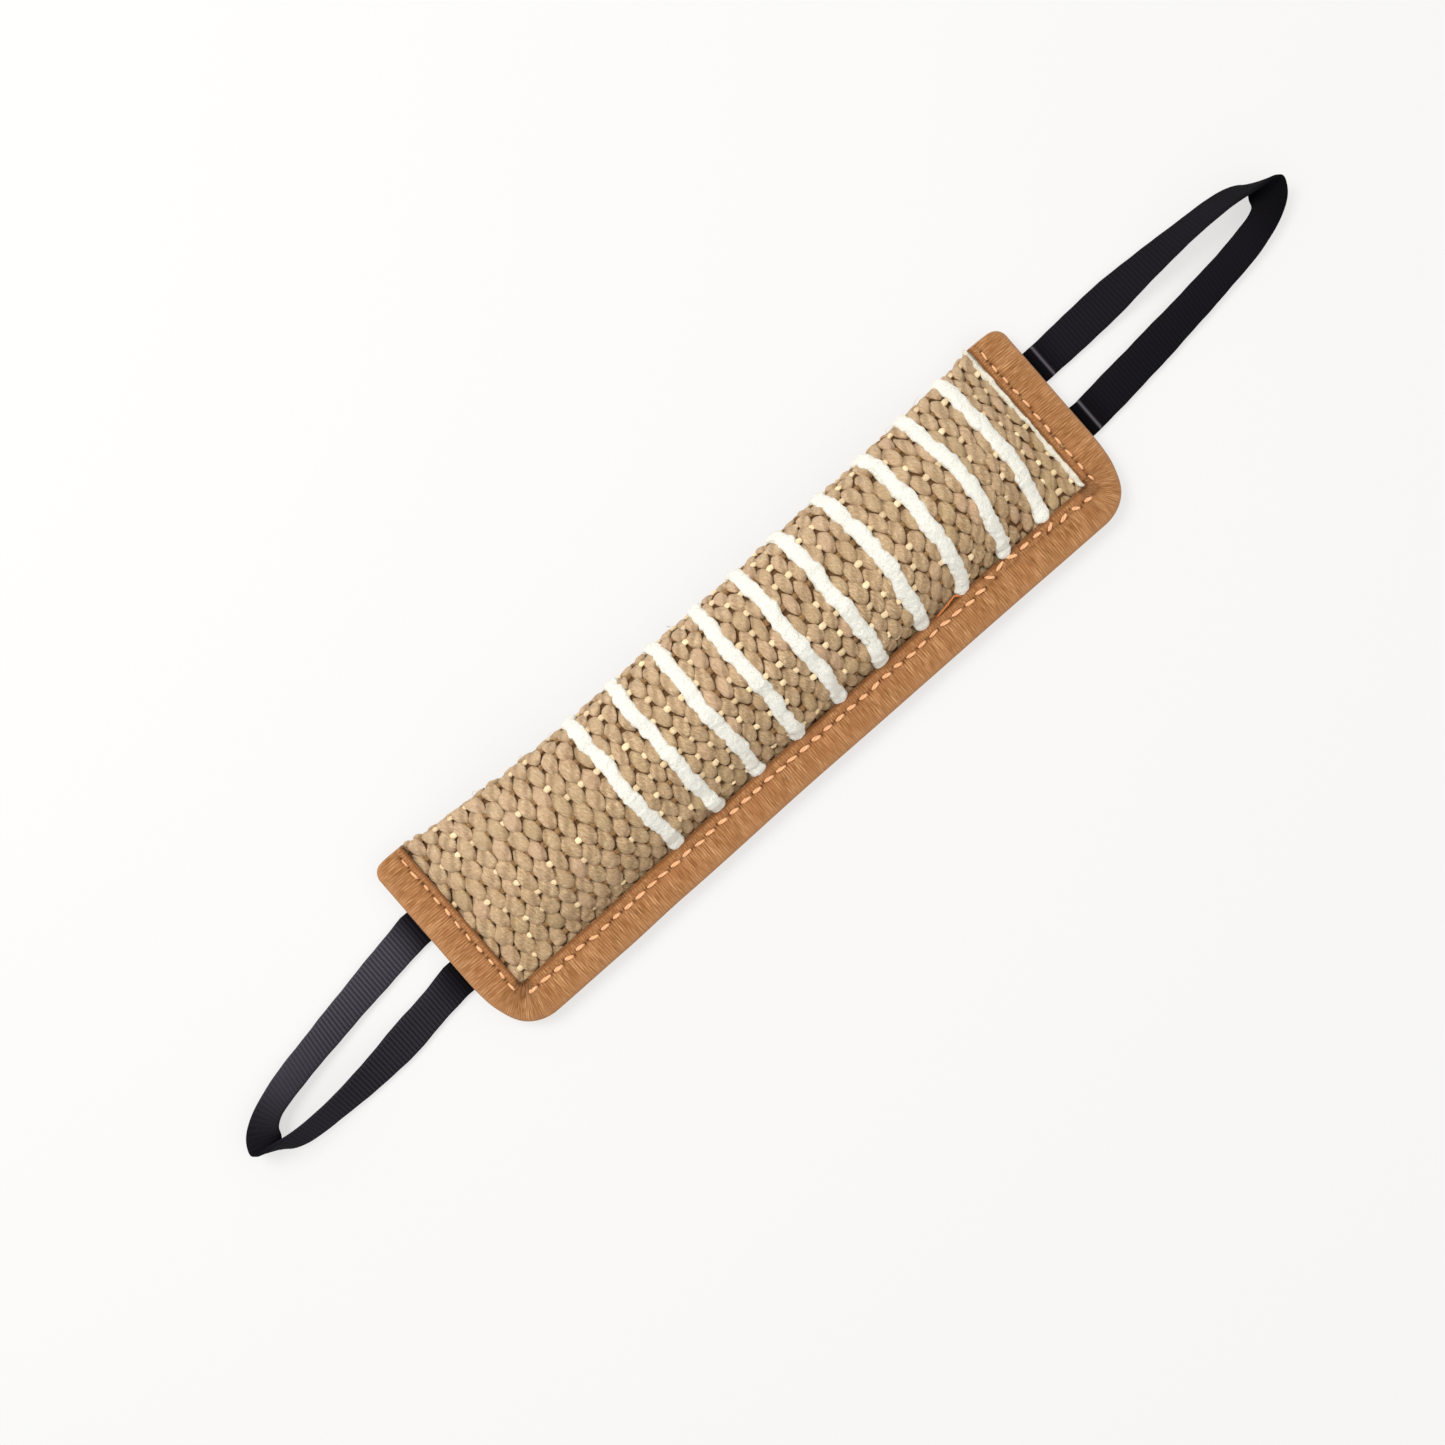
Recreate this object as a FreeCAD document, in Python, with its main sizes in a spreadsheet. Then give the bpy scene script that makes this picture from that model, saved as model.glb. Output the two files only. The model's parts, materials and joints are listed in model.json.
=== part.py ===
import FreeCAD, Part
import Sketcher

import math
import os

# A padded pad of coarse jute cloth with a loop handle of webbing at each end.
# One piece of cloth is folded round a stuffed roll; its fold is the +Y long
# side. The other three sides are pressed flat into a seam, bound with a
# doubled tape and sewn. Eleven white cords are woven across the cloth.
# X runs from handle to handle and Z is up. The origin lies on the resting
# plane under the middle of the pad. Lengths are in millimetres.

DIMENSIONS = [
    ("pad_length", 300.0, "over the two bound ends"),
    ("pad_height", 28.0, "resting plane to the crown"),
    ("bound_reach", 40.5, "centre line to the bound long edge"),
    ("fold_reach", 36.5, "centre line to the fold, along the middle"),
    ("fold_reach_end", 40.5, "centre line to the fold, where the ends are pressed flat"),
    ("seam_width_long", 16.0, "tape width seen on the long side"),
    ("seam_width_end", 14.5, "tape width seen on each end"),
    ("seam_level", 3.0, "resting plane to the cloth in the seam"),
    ("seam_stack", 4.4, "two layers of cloth pressed together in the seam"),
    ("taper_length", 44.0, "from the end tape to the full height of the pad"),
    ("crown_offset", 5.0, "centre line to the crown"),
    ("belly_side", 12.0, "centre line to the edge of the flat belly, bound side"),
    ("fold_roll", 14.0, "from the fold to the edge of the flat belly"),
    ("belly_press", 0.25, "cloth pressed flat on the resting plane"),
    ("shoulder_angle", 60.0, "slope of the cloth where it leaves the long tape, degrees"),
    ("cloth_thickness", 2.4, "jute cloth"),
    ("tape_thickness", 0.9, "binding tape, one layer"),
    ("corner_round", 18.0, "outer corner on the bound side"),
    ("clearance", 0.05, "between pieces that lie on each other"),
    ("cord_count", 11, "white cords"),
    ("cord_pitch", 19.6, "from cord to cord"),
    ("cord_start", -59.5, "first cord"),
    ("cord_width", 6.0, "each cord"),
    ("cord_proud", 1.4, "cord above the cloth"),
    ("cord_sunk", 0.8, "cord below the surface of the cloth"),
    ("strap_width", 13.6, "handle webbing"),
    ("strap_thickness", 1.4, "handle webbing"),
    ("crease_reach", 4.0, "end of the pad to the crease that the handle swings on"),
    ("crease_gap", 1.3, "soft fold between the sewn webbing and the crease"),
    ("tail_length", 20.0, "webbing sewn under the seam, to the crease"),
    ("stitch_pitch", 5.6, "from stitch to stitch"),
    ("stitch_length", 4.2, "seen part of a stitch"),
    ("stitch_width", 1.2, "thread"),
    ("stitch_height", 0.4, "thread above the surface it holds down"),
    ("stitch_inset", 11.5, "outer edge of the tape to the row of stitches"),
    ("left_reach", 95.0, "left crease to the tip of its loop"),
    ("left_middle", 2.3, "centre line to the middle between the left limbs"),
    ("left_spread", 23.8, "between the centres of the left limbs"),
    ("left_slant", 5.4, "degrees that the left loop leans"),
    ("left_bow", 0.15, "outward bow of the turned limb, as a share of half the spread"),
    ("right_reach", 108.0, "right crease to the tip of its loop"),
    ("right_middle", 7.7, "centre line to the middle between the right limbs"),
    ("right_spread", 26.0, "between the centres of the right limbs"),
    ("right_slant", 2.3, "degrees that the right loop leans"),
    ("right_bow", 0.0, "outward bow of the turned limb, as a share of half the spread"),
]

# The two edges of the webbing round a loop, from the limb whose upper face
# carries on round the tip to the limb that has turned over. A row gives the
# way out from the crease as a share of the reach, the way across as a share
# of half the spread, and the rise in millimetres, for the edge that starts on
# the outside and then for the edge that starts on the inside.
LOOP_EDGES = [
    ((0.305, -1.38, 0.2), (0.305, -0.36, 0.6)),
    ((0.602, -1.16, 0.9), (0.611, -0.23, 2.3)),
    ((0.815, -0.93, 2.1), (0.806, -0.05, 3.9)),
    ((0.954, -0.51, 3.7), (0.861, 0.12, 4.7)),
    ((1.000, -0.04, 5.7), (0.875, 0.31, 3.7)),
    ((0.979, 0.25, 9.4), (0.898, 0.58, 1.3)),
    ((0.880, 0.37, 11.7), (0.876, 0.88, 0.4)),
    ((0.778, 0.51, 11.2), (0.792, 1.11, 0.0)),
    ((0.600, 0.57, 9.4), (0.620, 1.28, 0.0)),
    ((0.430, 0.52, 5.2), (0.440, 1.44, 0.0)),
    ((0.270, 0.45, 1.4), (0.270, 1.53, 0.0)),
    ((0.120, 0.46, 0.1), (0.120, 1.52, 0.0)),
]
LOOP_SECTIONS = 60

TAPER_STATIONS = 5        # steps between sections along each tapering end
MIDDLE_STATIONS = 4       # steps between sections from there to the middle
ROUND = 0.5523            # handle length of a cubic that stands for a quarter ellipse
NOSE_SHARE = 0.46         # height of the fold's outermost line, as a share of the section
SHOULDER_SHARE = 0.42     # handle length of the shoulder, as a share of its width


def make_sheet(document):
    sheet = document.addObject("Spreadsheet::Sheet", "Dims")
    for row, (alias, value, note) in enumerate(DIMENSIONS, start=1):
        sheet.set(f"A{row}", alias)
        sheet.set(f"B{row}", str(value))
        sheet.set(f"C{row}", note)
        sheet.setAlias(f"B{row}", alias)
    document.recompute()
    return sheet


doc = FreeCAD.newDocument("JutePad")
dims = make_sheet(doc)

cloth_half = dims.pad_length / 2 - dims.tape_thickness - dims.clearance
cloth_edge = dims.bound_reach - dims.tape_thickness - dims.clearance
tape_start = dims.pad_length / 2 - dims.seam_width_end
tape_line = dims.bound_reach - dims.seam_width_long
seam_top = dims.seam_level + dims.seam_stack
crease = dims.pad_length / 2 + dims.crease_reach
strap_level = (dims.seam_level - dims.tape_thickness - 2 * dims.clearance
               - dims.strap_thickness / 2)


def feature(name, shape, placement=FreeCAD.Placement()):
    part = doc.addObject("Part::Feature", name)
    part.Label = name
    part.Shape = shape
    part.Placement = placement


def cubic(*poles):
    curve = Part.BezierCurve()
    curve.setPoles(list(poles))
    return curve.toShape()


# Folded cloth, stuffed roll and cords

def fullness(x):
    """1 where the pad has its full height, 0 in the end seams."""
    way = min(max((tape_start - abs(x)) / dims.taper_length, 0.0), 1.0)
    return math.sin(way * math.pi / 2) ** 1.3


def mirrored_stations(first, last, extra=()):
    """Places along X from -first to +first, close together where the pad tapers."""
    step = (first - last) / TAPER_STATIONS
    right = list(extra) + [first - step * i for i in range(TAPER_STATIONS + 1)]
    right += [last * (1 - i / MIDDLE_STATIONS) for i in range(1, MIDDLE_STATIONS)]
    return [-x for x in right] + [0.0] + right[::-1]


def section_levels(x, grow):
    """Fold, crown, belly and nose of the section at x, moved outward by grow."""
    full = fullness(x)
    fold = dims.fold_reach_end + (dims.fold_reach - dims.fold_reach_end) * full + grow
    top = seam_top + (dims.pad_height - seam_top) * full + grow
    base = dims.seam_level * (1 - full) - dims.belly_press * full - min(grow, 0.0)
    nose = base + (top - base) * NOSE_SHARE
    return full, fold, top, base, nose


def fold_edges(at, crown, fold, nose, roll, base):
    """From the crown over the fold to the flat belly, then along the belly."""
    nose_point = at(fold, nose)
    belly_start = at(fold - roll, base)
    over = cubic(crown, at(crown.y + (fold - crown.y) * ROUND, crown.z),
                 at(fold, nose + (crown.z - nose) * ROUND), nose_point)
    under = cubic(nose_point, at(fold, nose + (base - nose) * ROUND),
                  at(fold - roll * (1 - ROUND), base), belly_start)
    return [over, under, Part.makeLine(belly_start, at(-dims.belly_side, base))]


def shoulder_edge(at, foot, crown, full):
    """From the seam up to the crown."""
    slope = math.radians(dims.shoulder_angle * full)
    reach = (crown.y - foot.y) * SHOULDER_SHARE
    lean = at(foot.y + reach * math.cos(slope), foot.z + reach * math.sin(slope) * full)
    return cubic(foot, lean, at(crown.y - reach, crown.z), crown)


def cloth_section(x, grow):
    """Outline of the folded cloth at x, moved outward by grow."""
    full, fold, top, base, nose = section_levels(x, grow)

    def at(y, z):
        return FreeCAD.Vector(x, y, z)

    crown = at(dims.crown_offset, top)
    low_in, low_out = at(-tape_line, dims.seam_level - grow), at(-cloth_edge, dims.seam_level - grow)
    high_in, high_out = at(-tape_line, seam_top + grow), at(-cloth_edge, seam_top + grow)
    roll = dims.seam_stack / 2 + (dims.fold_roll - dims.seam_stack / 2) * full
    spread = (tape_line - dims.belly_side) / 2
    under_seam = cubic(at(-dims.belly_side, base), at(-dims.belly_side - spread, base),
                       at(-tape_line + spread, low_in.z), low_in)
    edges = [shoulder_edge(at, high_in, crown, full)]
    edges += fold_edges(at, crown, fold, nose, roll, base)
    edges += [under_seam, Part.makeLine(low_in, low_out),
              Part.makeLine(low_out, high_out), Part.makeLine(high_out, high_in)]
    return Part.Wire(edges)


def cloth_body(grow):
    """Solid outline of the folded cloth, moved outward by grow."""
    stations = mirrored_stations(tape_start, tape_start - dims.taper_length, [cloth_half])
    return Part.makeLoft([cloth_section(x, grow) for x in stations], True, False)


def roll_section(x, inset):
    """Outline of the stuffed roll at x, kept inset inside the cloth's outer face."""
    full, fold, top, base, nose = section_levels(x, -inset)

    def at(y, z):
        return FreeCAD.Vector(x, y, z)

    crown = at(dims.crown_offset, top)
    foot = at(-tape_line + 1.6 * inset, dims.seam_level + dims.seam_stack / 2)
    spread = (-dims.belly_side - foot.y) / 2
    under_seam = cubic(at(-dims.belly_side, base), at(-dims.belly_side - spread, base),
                       at(foot.y + spread, (base + foot.z) / 2), foot)
    edges = [shoulder_edge(at, foot, crown, full)]
    edges += fold_edges(at, crown, fold, nose, dims.fold_roll * full, base)
    return Part.Wire(edges + [under_seam])


def roll_body(inset):
    """The roll fades out before the end seams, where the cloth layers meet."""
    thin = dims.taper_length * 0.22
    stations = mirrored_stations(tape_start - thin, tape_start - dims.taper_length)
    return Part.makeLoft([roll_section(x, inset) for x in stations], True, False)


def cloth_plan():
    """Block on the resting plane with the cloth's outline, rounded at the bound corners."""
    block = Part.makeBox(2 * cloth_half, cloth_edge + dims.pad_length, 2 * dims.pad_height,
                         FreeCAD.Vector(-cloth_half, -cloth_edge, 0))
    corners = [edge for edge in block.Edges
               if edge.BoundBox.ZLength > dims.pad_height and edge.BoundBox.YMin < 0]
    return block.makeFillet(dims.corner_round - dims.tape_thickness, corners)


def slab(x, width, low_y):
    """Slice of space on the resting plane, from low_y to past the fold."""
    high_y = dims.fold_reach_end + dims.pad_height
    return Part.makeBox(width, high_y - low_y, 2 * dims.pad_height,
                        FreeCAD.Vector(x - width / 2, low_y, 0))


def pressed_space():
    """Space above and below the end seams, which the cloth leaves to the tape."""
    width, deep = dims.seam_width_end, 2 * dims.fold_reach_end + dims.pad_height
    blocks = []
    for x in (tape_start, -tape_start - width):
        for z, height in ((0, dims.seam_level), (seam_top, dims.pad_height)):
            blocks.append(Part.makeBox(width, deep, height, FreeCAD.Vector(x, -deep / 2, z)))
    return Part.makeCompound(blocks)


def make_woven_cover(cord_places):
    """Folded cloth with a hollow for the roll and a channel for each cord."""
    cloth = cloth_body(0.0).common(cloth_plan()).cut(pressed_space())
    cloth = cloth.cut(roll_body(dims.cloth_thickness))
    bed = cloth_body(-dims.cord_sunk)
    for x in cord_places:
        cloth = cloth.cut(slab(x, dims.cord_width + 2 * dims.clearance, -tape_line).cut(bed))
    feature("woven_cover", cloth)


def make_cords(cord_places):
    """Each cord runs round the pad and is pressed flat where the end tape covers it."""
    outside = cloth_body(dims.cord_proud)
    flush = cloth_body(-dims.clearance)
    bed = cloth_body(-dims.cord_sunk + dims.clearance)
    tape_space = Part.makeBox(dims.pad_length, dims.pad_length, dims.pad_length,
                              FreeCAD.Vector(tape_start - dims.clearance,
                                             -dims.pad_length / 2, -dims.pad_length / 2))
    for number, x in enumerate(cord_places, start=1):
        across = slab(x, dims.cord_width, -tape_line + dims.clearance).cut(bed)
        cord = across.common(outside)
        if x + dims.cord_width / 2 > tape_start:
            under_tape = across.common(flush).cut(pressed_space())
            cord = cord.cut(tape_space).fuse(under_tape).removeSplitter()
        feature(f"white_cord_{number:02d}", cord)


# Binding tape

def read(text):
    return float(dims.evalExpression(text))


def outline_sketch(body, name, corners, level):
    """Closed outline parallel to the XY plane; the sheet drives each corner."""
    sketch = body.newObject("Sketcher::SketchObject", name)
    plane = next(item for item in body.Origin.OriginFeatures if item.Role == "XY_Plane")
    sketch.AttachmentSupport = [(plane, "")]
    sketch.MapMode = "FlatFace"
    sketch.setExpression("AttachmentOffset.Base.z", level)
    points = [FreeCAD.Vector(read(x), read(y), 0) for x, y in corners]
    count = len(points)
    for i in range(count):
        sketch.addGeometry(Part.LineSegment(points[i], points[(i + 1) % count]), False)
    for i in range(count):
        sketch.addConstraint(Sketcher.Constraint("Coincident", i, 2, (i + 1) % count, 1))
    for i in range(count):
        for kind, text in zip(("DistanceX", "DistanceY"), corners[i]):
            index = sketch.addConstraint(Sketcher.Constraint(kind, -1, 1, i, 1, read(text)))
            sketch.setExpression(f"Constraints[{index}]", text)
    return sketch


def horseshoe(end_width, long_width):
    """Three-sided outline along the bound sides, open towards the fold."""
    out_x, out_y = "Dims.pad_length / 2", "Dims.bound_reach"
    in_x, in_y = f"({out_x} - {end_width})", f"({out_y} - {long_width})"
    fold_y = "Dims.fold_reach_end"
    return [(f"-{out_x}", f"-{out_y}"), (out_x, f"-{out_y}"), (out_x, fold_y), (in_x, fold_y),
            (in_x, f"-{in_y}"), (f"-{in_x}", f"-{in_y}"), (f"-{in_x}", fold_y),
            (f"-{out_x}", fold_y)]


def make_edge_binding():
    """One tape doubled over the three sewn sides: lower layer, edge, upper layer."""
    body = doc.addObject("PartDesign::Body", "edge_binding")
    body.Label = "edge_binding"
    wide = horseshoe("Dims.seam_width_end", "Dims.seam_width_long")
    narrow = horseshoe("Dims.tape_thickness", "Dims.tape_thickness")
    lower = "Dims.seam_level - Dims.tape_thickness - Dims.clearance"
    middle = "Dims.seam_level - Dims.clearance"
    upper = "Dims.seam_level + Dims.seam_stack + Dims.clearance"
    layers = [("LowerLayer", wide, lower, "Dims.tape_thickness"),
              ("Edge", narrow, middle, "Dims.seam_stack + 2 * Dims.clearance"),
              ("UpperLayer", wide, upper, "Dims.tape_thickness")]
    for name, corners, level, height in layers:
        sketch = outline_sketch(body, name + "Outline", corners, level)
        pad = body.newObject("PartDesign::Pad", name)
        pad.Profile = sketch
        pad.setExpression("Length", height)
        doc.recompute()
    round_corners(body)
    body.Placement = FreeCAD.Placement()


def round_corners(body):
    """Round the outer upright edges on the bound side, and the inner wall to match."""
    for name, radius, inset in (("OuterCorners", "Dims.corner_round", 0.0),
                                ("InnerCorners", "Dims.corner_round - Dims.tape_thickness",
                                 dims.tape_thickness)):
        base = body.Tip
        corner_x, corner_y = dims.pad_length / 2 - inset, -dims.bound_reach + inset
        edges = [f"Edge{i}" for i, edge in enumerate(base.Shape.Edges, start=1)
                 if edge.BoundBox.ZLength > dims.seam_stack
                 and abs(edge.BoundBox.YMin - corner_y) < dims.clearance
                 and abs(abs(edge.BoundBox.XMin) - corner_x) < dims.clearance]
        fillet = body.newObject("PartDesign::Fillet", name)
        fillet.Base = (base, edges)
        fillet.setExpression("Radius", radius)
        doc.recompute()


# Thread

def stitch(x, y, angle, bottom):
    """One stitch with round ends, centred at x and y and lying along angle."""
    half, thick = dims.stitch_length / 2 - dims.stitch_width / 2, dims.stitch_width / 2
    side_a = Part.makeLine(FreeCAD.Vector(-half, -thick, 0), FreeCAD.Vector(half, -thick, 0))
    side_b = Part.makeLine(FreeCAD.Vector(half, thick, 0), FreeCAD.Vector(-half, thick, 0))
    end_a = Part.Arc(FreeCAD.Vector(half, -thick, 0), FreeCAD.Vector(half + thick, 0, 0),
                     FreeCAD.Vector(half, thick, 0)).toShape()
    end_b = Part.Arc(FreeCAD.Vector(-half, thick, 0), FreeCAD.Vector(-half - thick, 0, 0),
                     FreeCAD.Vector(-half, -thick, 0)).toShape()
    outline = Part.Face(Part.Wire([side_a, end_a, side_b, end_b]))
    solid = outline.extrude(FreeCAD.Vector(0, 0, dims.stitch_height))
    solid.rotate(FreeCAD.Vector(), FreeCAD.Vector(0, 0, 1), angle)
    solid.translate(FreeCAD.Vector(x, y, bottom))
    return solid


def run(first, last):
    """Evenly spaced places from first to last, about one stitch pitch apart."""
    count = round(abs(last - first) / dims.stitch_pitch)
    return [first + (last - first) * i / count for i in range(count + 1)]


def seam_places():
    """Place and direction of each stitch along the three bound sides."""
    row_x = dims.pad_length / 2 - dims.stitch_inset
    row_y = -dims.bound_reach + dims.stitch_inset
    margin = dims.stitch_pitch
    along = [(x, row_y, 0) for x in run(-row_x + margin, row_x - margin)]
    ends = [(side * row_x, y, 90) for side in (-1, 1)
            for y in run(row_y + margin, dims.fold_reach_end - margin)]
    return along + ends


def under_a_strap(x, y):
    """True where the webbing of a handle covers the underside of the seam."""
    reach = dims.strap_width / 2 + dims.stitch_length / 2 + dims.clearance
    inner = crease - dims.tail_length - dims.stitch_length
    return abs(x) > inner and any(abs(y - limb) < reach for limb in limb_centres(x > 0))


def make_seam_threads():
    """Needle thread on the upper layer of the tape, and bobbin thread below the
    tape and below the webbing that the same seam holds."""
    upper = seam_top + dims.tape_thickness + 2 * dims.clearance
    under_tape = dims.seam_level - dims.tape_thickness - 2 * dims.clearance
    under_strap = strap_level - dims.strap_thickness / 2 - dims.clearance
    places = seam_places()
    below = [(place, under_strap if under_a_strap(place[0], place[1]) else under_tape)
             for place in places]
    feature("needle_thread", Part.makeCompound([stitch(*place, upper) for place in places]))
    feature("bobbin_thread", Part.makeCompound(
        [stitch(*place, face - dims.stitch_height) for place, face in below]))


# Handles

def limb_centres(right):
    """Y of the limb that carries round the tip, then of the limb that turns over."""
    if right:
        return (dims.right_middle - dims.right_spread / 2,
                dims.right_middle + dims.right_spread / 2)
    return (dims.left_middle + dims.left_spread / 2,
            dims.left_middle - dims.left_spread / 2)


def make_tails(side, right):
    """The two ends of a handle's webbing, sewn flat under the end seam."""
    outer = "Dims.pad_length / 2 + Dims.crease_reach - Dims.crease_gap"
    length = "(Dims.tail_length - Dims.crease_gap)"
    start = f"{outer} - {length}" if right else f"-({outer})"
    middle, spread = f"Dims.{side}_middle", f"Dims.{side}_spread"
    order = ("-", "+") if right else ("+", "-")
    for name, sign in zip(("carrying", "turning"), order):
        tail = doc.addObject("Part::Box", f"{side}_{name}_tail")
        tail.Label = tail.Name
        tail.setExpression("Length", length)
        tail.setExpression("Width", "Dims.strap_width")
        tail.setExpression("Height", "Dims.strap_thickness")
        tail.setExpression("Placement.Base.x", start)
        tail.setExpression("Placement.Base.y",
                           f"{middle} {sign} {spread} / 2 - Dims.strap_width / 2")
        tail.setExpression("Placement.Base.z", "Dims.seam_level - Dims.tape_thickness"
                           " - 2 * Dims.clearance - Dims.strap_thickness")


def loop_edges(reach, spread, slant, bow):
    """The two edge curves of the webbing round a loop, out from its crease."""
    half, width = spread / 2, dims.strap_width / 2

    def place(out, across, rise):
        bowed = across + (4 * bow * out * (1 - out) if across > 0 else 0)
        return out * reach, bowed * half, rise

    rows = [((0, -half - width, 0), (0, -half + width, 0))]
    rows += [tuple(place(*corner) for corner in pair) for pair in LOOP_EDGES]
    rows += [((0, half - width, 0), (0, half + width, 0))]
    lean = math.tan(math.radians(slant))
    curves = []
    for edge in range(2):
        points = [FreeCAD.Vector(x, y + x * lean, z) for x, y, z in (row[edge] for row in rows)]
        curve = Part.BSplineCurve()
        curve.interpolate(Points=points, Parameters=[float(i) for i in range(len(points))])
        curves.append(curve)
    return curves, len(rows) - 1


def webbing(curves, last):
    """Solid webbing between two edge curves that share one parameter."""
    sections = []
    for i in range(LOOP_SECTIONS + 1):
        place = last * i / LOOP_SECTIONS
        first, second = (curve.value(place) for curve in curves)
        ahead = curves[0].tangent(place)[0] + curves[1].tangent(place)[0]
        face = (second - first).cross(ahead).normalize() * (dims.strap_thickness / 2)
        corners = [first + face, second + face, second - face, first - face]
        sections.append(Part.makePolygon(corners + corners[:1]))
    return Part.makeLoft(sections, True, True)


def make_loop(side, right):
    """One handle outside its crease; it lies flat on both limbs and turns over once."""
    sizes = [read(f"{side}_{what}") for what in ("reach", "spread", "slant", "bow")]
    loop = webbing(*loop_edges(*sizes))
    middle = read(f"{side}_middle")
    turn = FreeCAD.Rotation(FreeCAD.Vector(0, 0, 1), 0 if right else 180)
    place = FreeCAD.Vector(crease if right else -crease, middle, strap_level)
    feature(f"{side}_handle_loop", loop, FreeCAD.Placement(place, turn))


def main():
    cord_places = [dims.cord_start + dims.cord_pitch * i for i in range(int(dims.cord_count))]
    make_woven_cover(cord_places)
    feature("padding_roll", roll_body(dims.cloth_thickness + 2 * dims.clearance))
    make_cords(cord_places)
    make_edge_binding()
    make_seam_threads()
    for side, right in (("left", False), ("right", True)):
        make_tails(side, right)
        make_loop(side, right)
    doc.recompute()
    write_parts()


def write_parts():
    """Check every object, then write each sub-part under its label."""
    for item in doc.Objects:
        if "Invalid" in item.State or "Error" in item.State:
            raise RuntimeError(f"{item.Label} failed: {item.State}")
    kinds = ("PartDesign::Body", "Part::Feature", "Part::Box")
    parts = [item for item in doc.Objects if item.TypeId in kinds]
    for part in parts:
        if part.Shape.isNull() or not part.Shape.isValid() or not part.Shape.Solids:
            raise RuntimeError(f"{part.Label} has no valid solid")
    os.makedirs("parts", exist_ok=True)
    for part in parts:
        part.Shape.exportStep(f"parts/{part.Label}.step")
        print(part.Label, len(part.Shape.Solids), round(part.Shape.Volume, 1))


main()
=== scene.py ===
import json
import math

import bpy
import numpy as np
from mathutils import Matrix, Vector


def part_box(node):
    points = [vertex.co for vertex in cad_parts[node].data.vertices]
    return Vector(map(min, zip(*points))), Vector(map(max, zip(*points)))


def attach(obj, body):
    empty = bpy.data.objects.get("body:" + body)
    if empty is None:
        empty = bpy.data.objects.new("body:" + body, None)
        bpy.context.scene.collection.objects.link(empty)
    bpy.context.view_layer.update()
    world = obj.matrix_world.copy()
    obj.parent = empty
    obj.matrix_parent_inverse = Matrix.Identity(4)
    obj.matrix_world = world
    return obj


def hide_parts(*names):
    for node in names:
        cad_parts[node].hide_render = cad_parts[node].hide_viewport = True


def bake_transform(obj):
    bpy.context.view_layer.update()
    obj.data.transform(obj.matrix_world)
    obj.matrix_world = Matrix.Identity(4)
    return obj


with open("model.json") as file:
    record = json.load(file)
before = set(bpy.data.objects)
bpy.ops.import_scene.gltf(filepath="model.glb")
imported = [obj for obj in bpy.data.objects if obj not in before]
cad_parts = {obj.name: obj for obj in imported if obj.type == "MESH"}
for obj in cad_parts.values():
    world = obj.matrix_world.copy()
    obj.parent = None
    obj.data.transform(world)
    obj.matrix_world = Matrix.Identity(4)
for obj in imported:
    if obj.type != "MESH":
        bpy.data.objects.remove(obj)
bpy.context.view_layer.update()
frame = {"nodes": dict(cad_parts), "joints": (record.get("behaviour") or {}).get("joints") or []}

# A stuffed pad of coarse jute with white cords, a ribbed binding tape on three
# sides and a loop of black webbing at each end. Shapes are worked out in
# millimetres in the frame's axes, and the meshes are written in metres.

MM = 0.001


def node_box(node):
    """Lowest and highest corner of a CAD node, in millimetres."""
    low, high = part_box(node)
    return np.array(low) / MM, np.array(high) / MM


CORDS = sorted(node for node in frame["nodes"] if node.startswith("white_cord"))
COVER_HIGH = node_box("woven_cover")[1]
TAPE_LOW, TAPE_HIGH = node_box("edge_binding")
CORD_LOW, CORD_HIGH = node_box(CORDS[0])
CORD_X = [(node_box(node)[0][0] + node_box(node)[1][0]) / 2 for node in CORDS]
CORD_PITCH = (CORD_X[-1] - CORD_X[0]) / (len(CORD_X) - 1)
CORD_HALF = (CORD_HIGH[0] - CORD_LOW[0]) / 2
CORD_PROUD = CORD_HIGH[2] - COVER_HIGH[2]

TAPE_THICKNESS = 0.9
SEAM_WIDTH_END = 14.5
CORNER_ROUND = 18.0
STITCH_INSET = 11.5
STITCH_PITCH = 5.6

HALF_LENGTH = TAPE_HIGH[0]
BOUND_REACH = -TAPE_LOW[1]
TAPE_START = HALF_LENGTH - SEAM_WIDTH_END
TAPE_LINE = -CORD_LOW[1]
SEAM_WIDTH_LONG = BOUND_REACH - TAPE_LINE
SEAM_LOW = TAPE_LOW[2] + TAPE_THICKNESS
SEAM_TOP = TAPE_HIGH[2] - TAPE_THICKNESS
FOLD_REACH_END = TAPE_HIGH[1]
FOLD_REACH = CORD_HIGH[1] - CORD_PROUD
PAD_HEIGHT = COVER_HIGH[2]
CORNER_X = HALF_LENGTH - CORNER_ROUND
CORNER_Y = CORNER_ROUND - BOUND_REACH

# The section of the pad: where the cloth is crowned, flat and rolled over
TAPER = 44.0
CROWN_Y = 5.0
BELLY_Y = -12.0
FOLD_ROLL = 14.0
SHOULDER_ANGLE = math.radians(60.0)
NOSE_SHARE = 0.46
SHOULDER_SHARE = 0.42
ROUND = 0.5523

REST_GAP = 0.12        # lowest level that the soft surface keeps above the resting plane
YARN_ROW = 7.1         # from row to row of the weave, along the cloth
FIRST_ROW = 4.6        # upper seam to the first whole row
PLAIN_PITCH = 6.9      # from yarn to yarn where no cords are woven in


# ------------------------------------------------------------ shape helpers

def new_mesh(name, points, faces):
    """Mesh from points in millimetres."""
    mesh = bpy.data.meshes.new(name)
    mesh.from_pydata((np.asarray(points, float).reshape(-1, 3) * MM).tolist(), [], faces)
    return mesh


def place_object(name, data):
    """Object of a mesh, lamp or camera, put in the scene."""
    obj = bpy.data.objects.new(name, data)
    bpy.context.scene.collection.objects.link(obj)
    return obj


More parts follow.
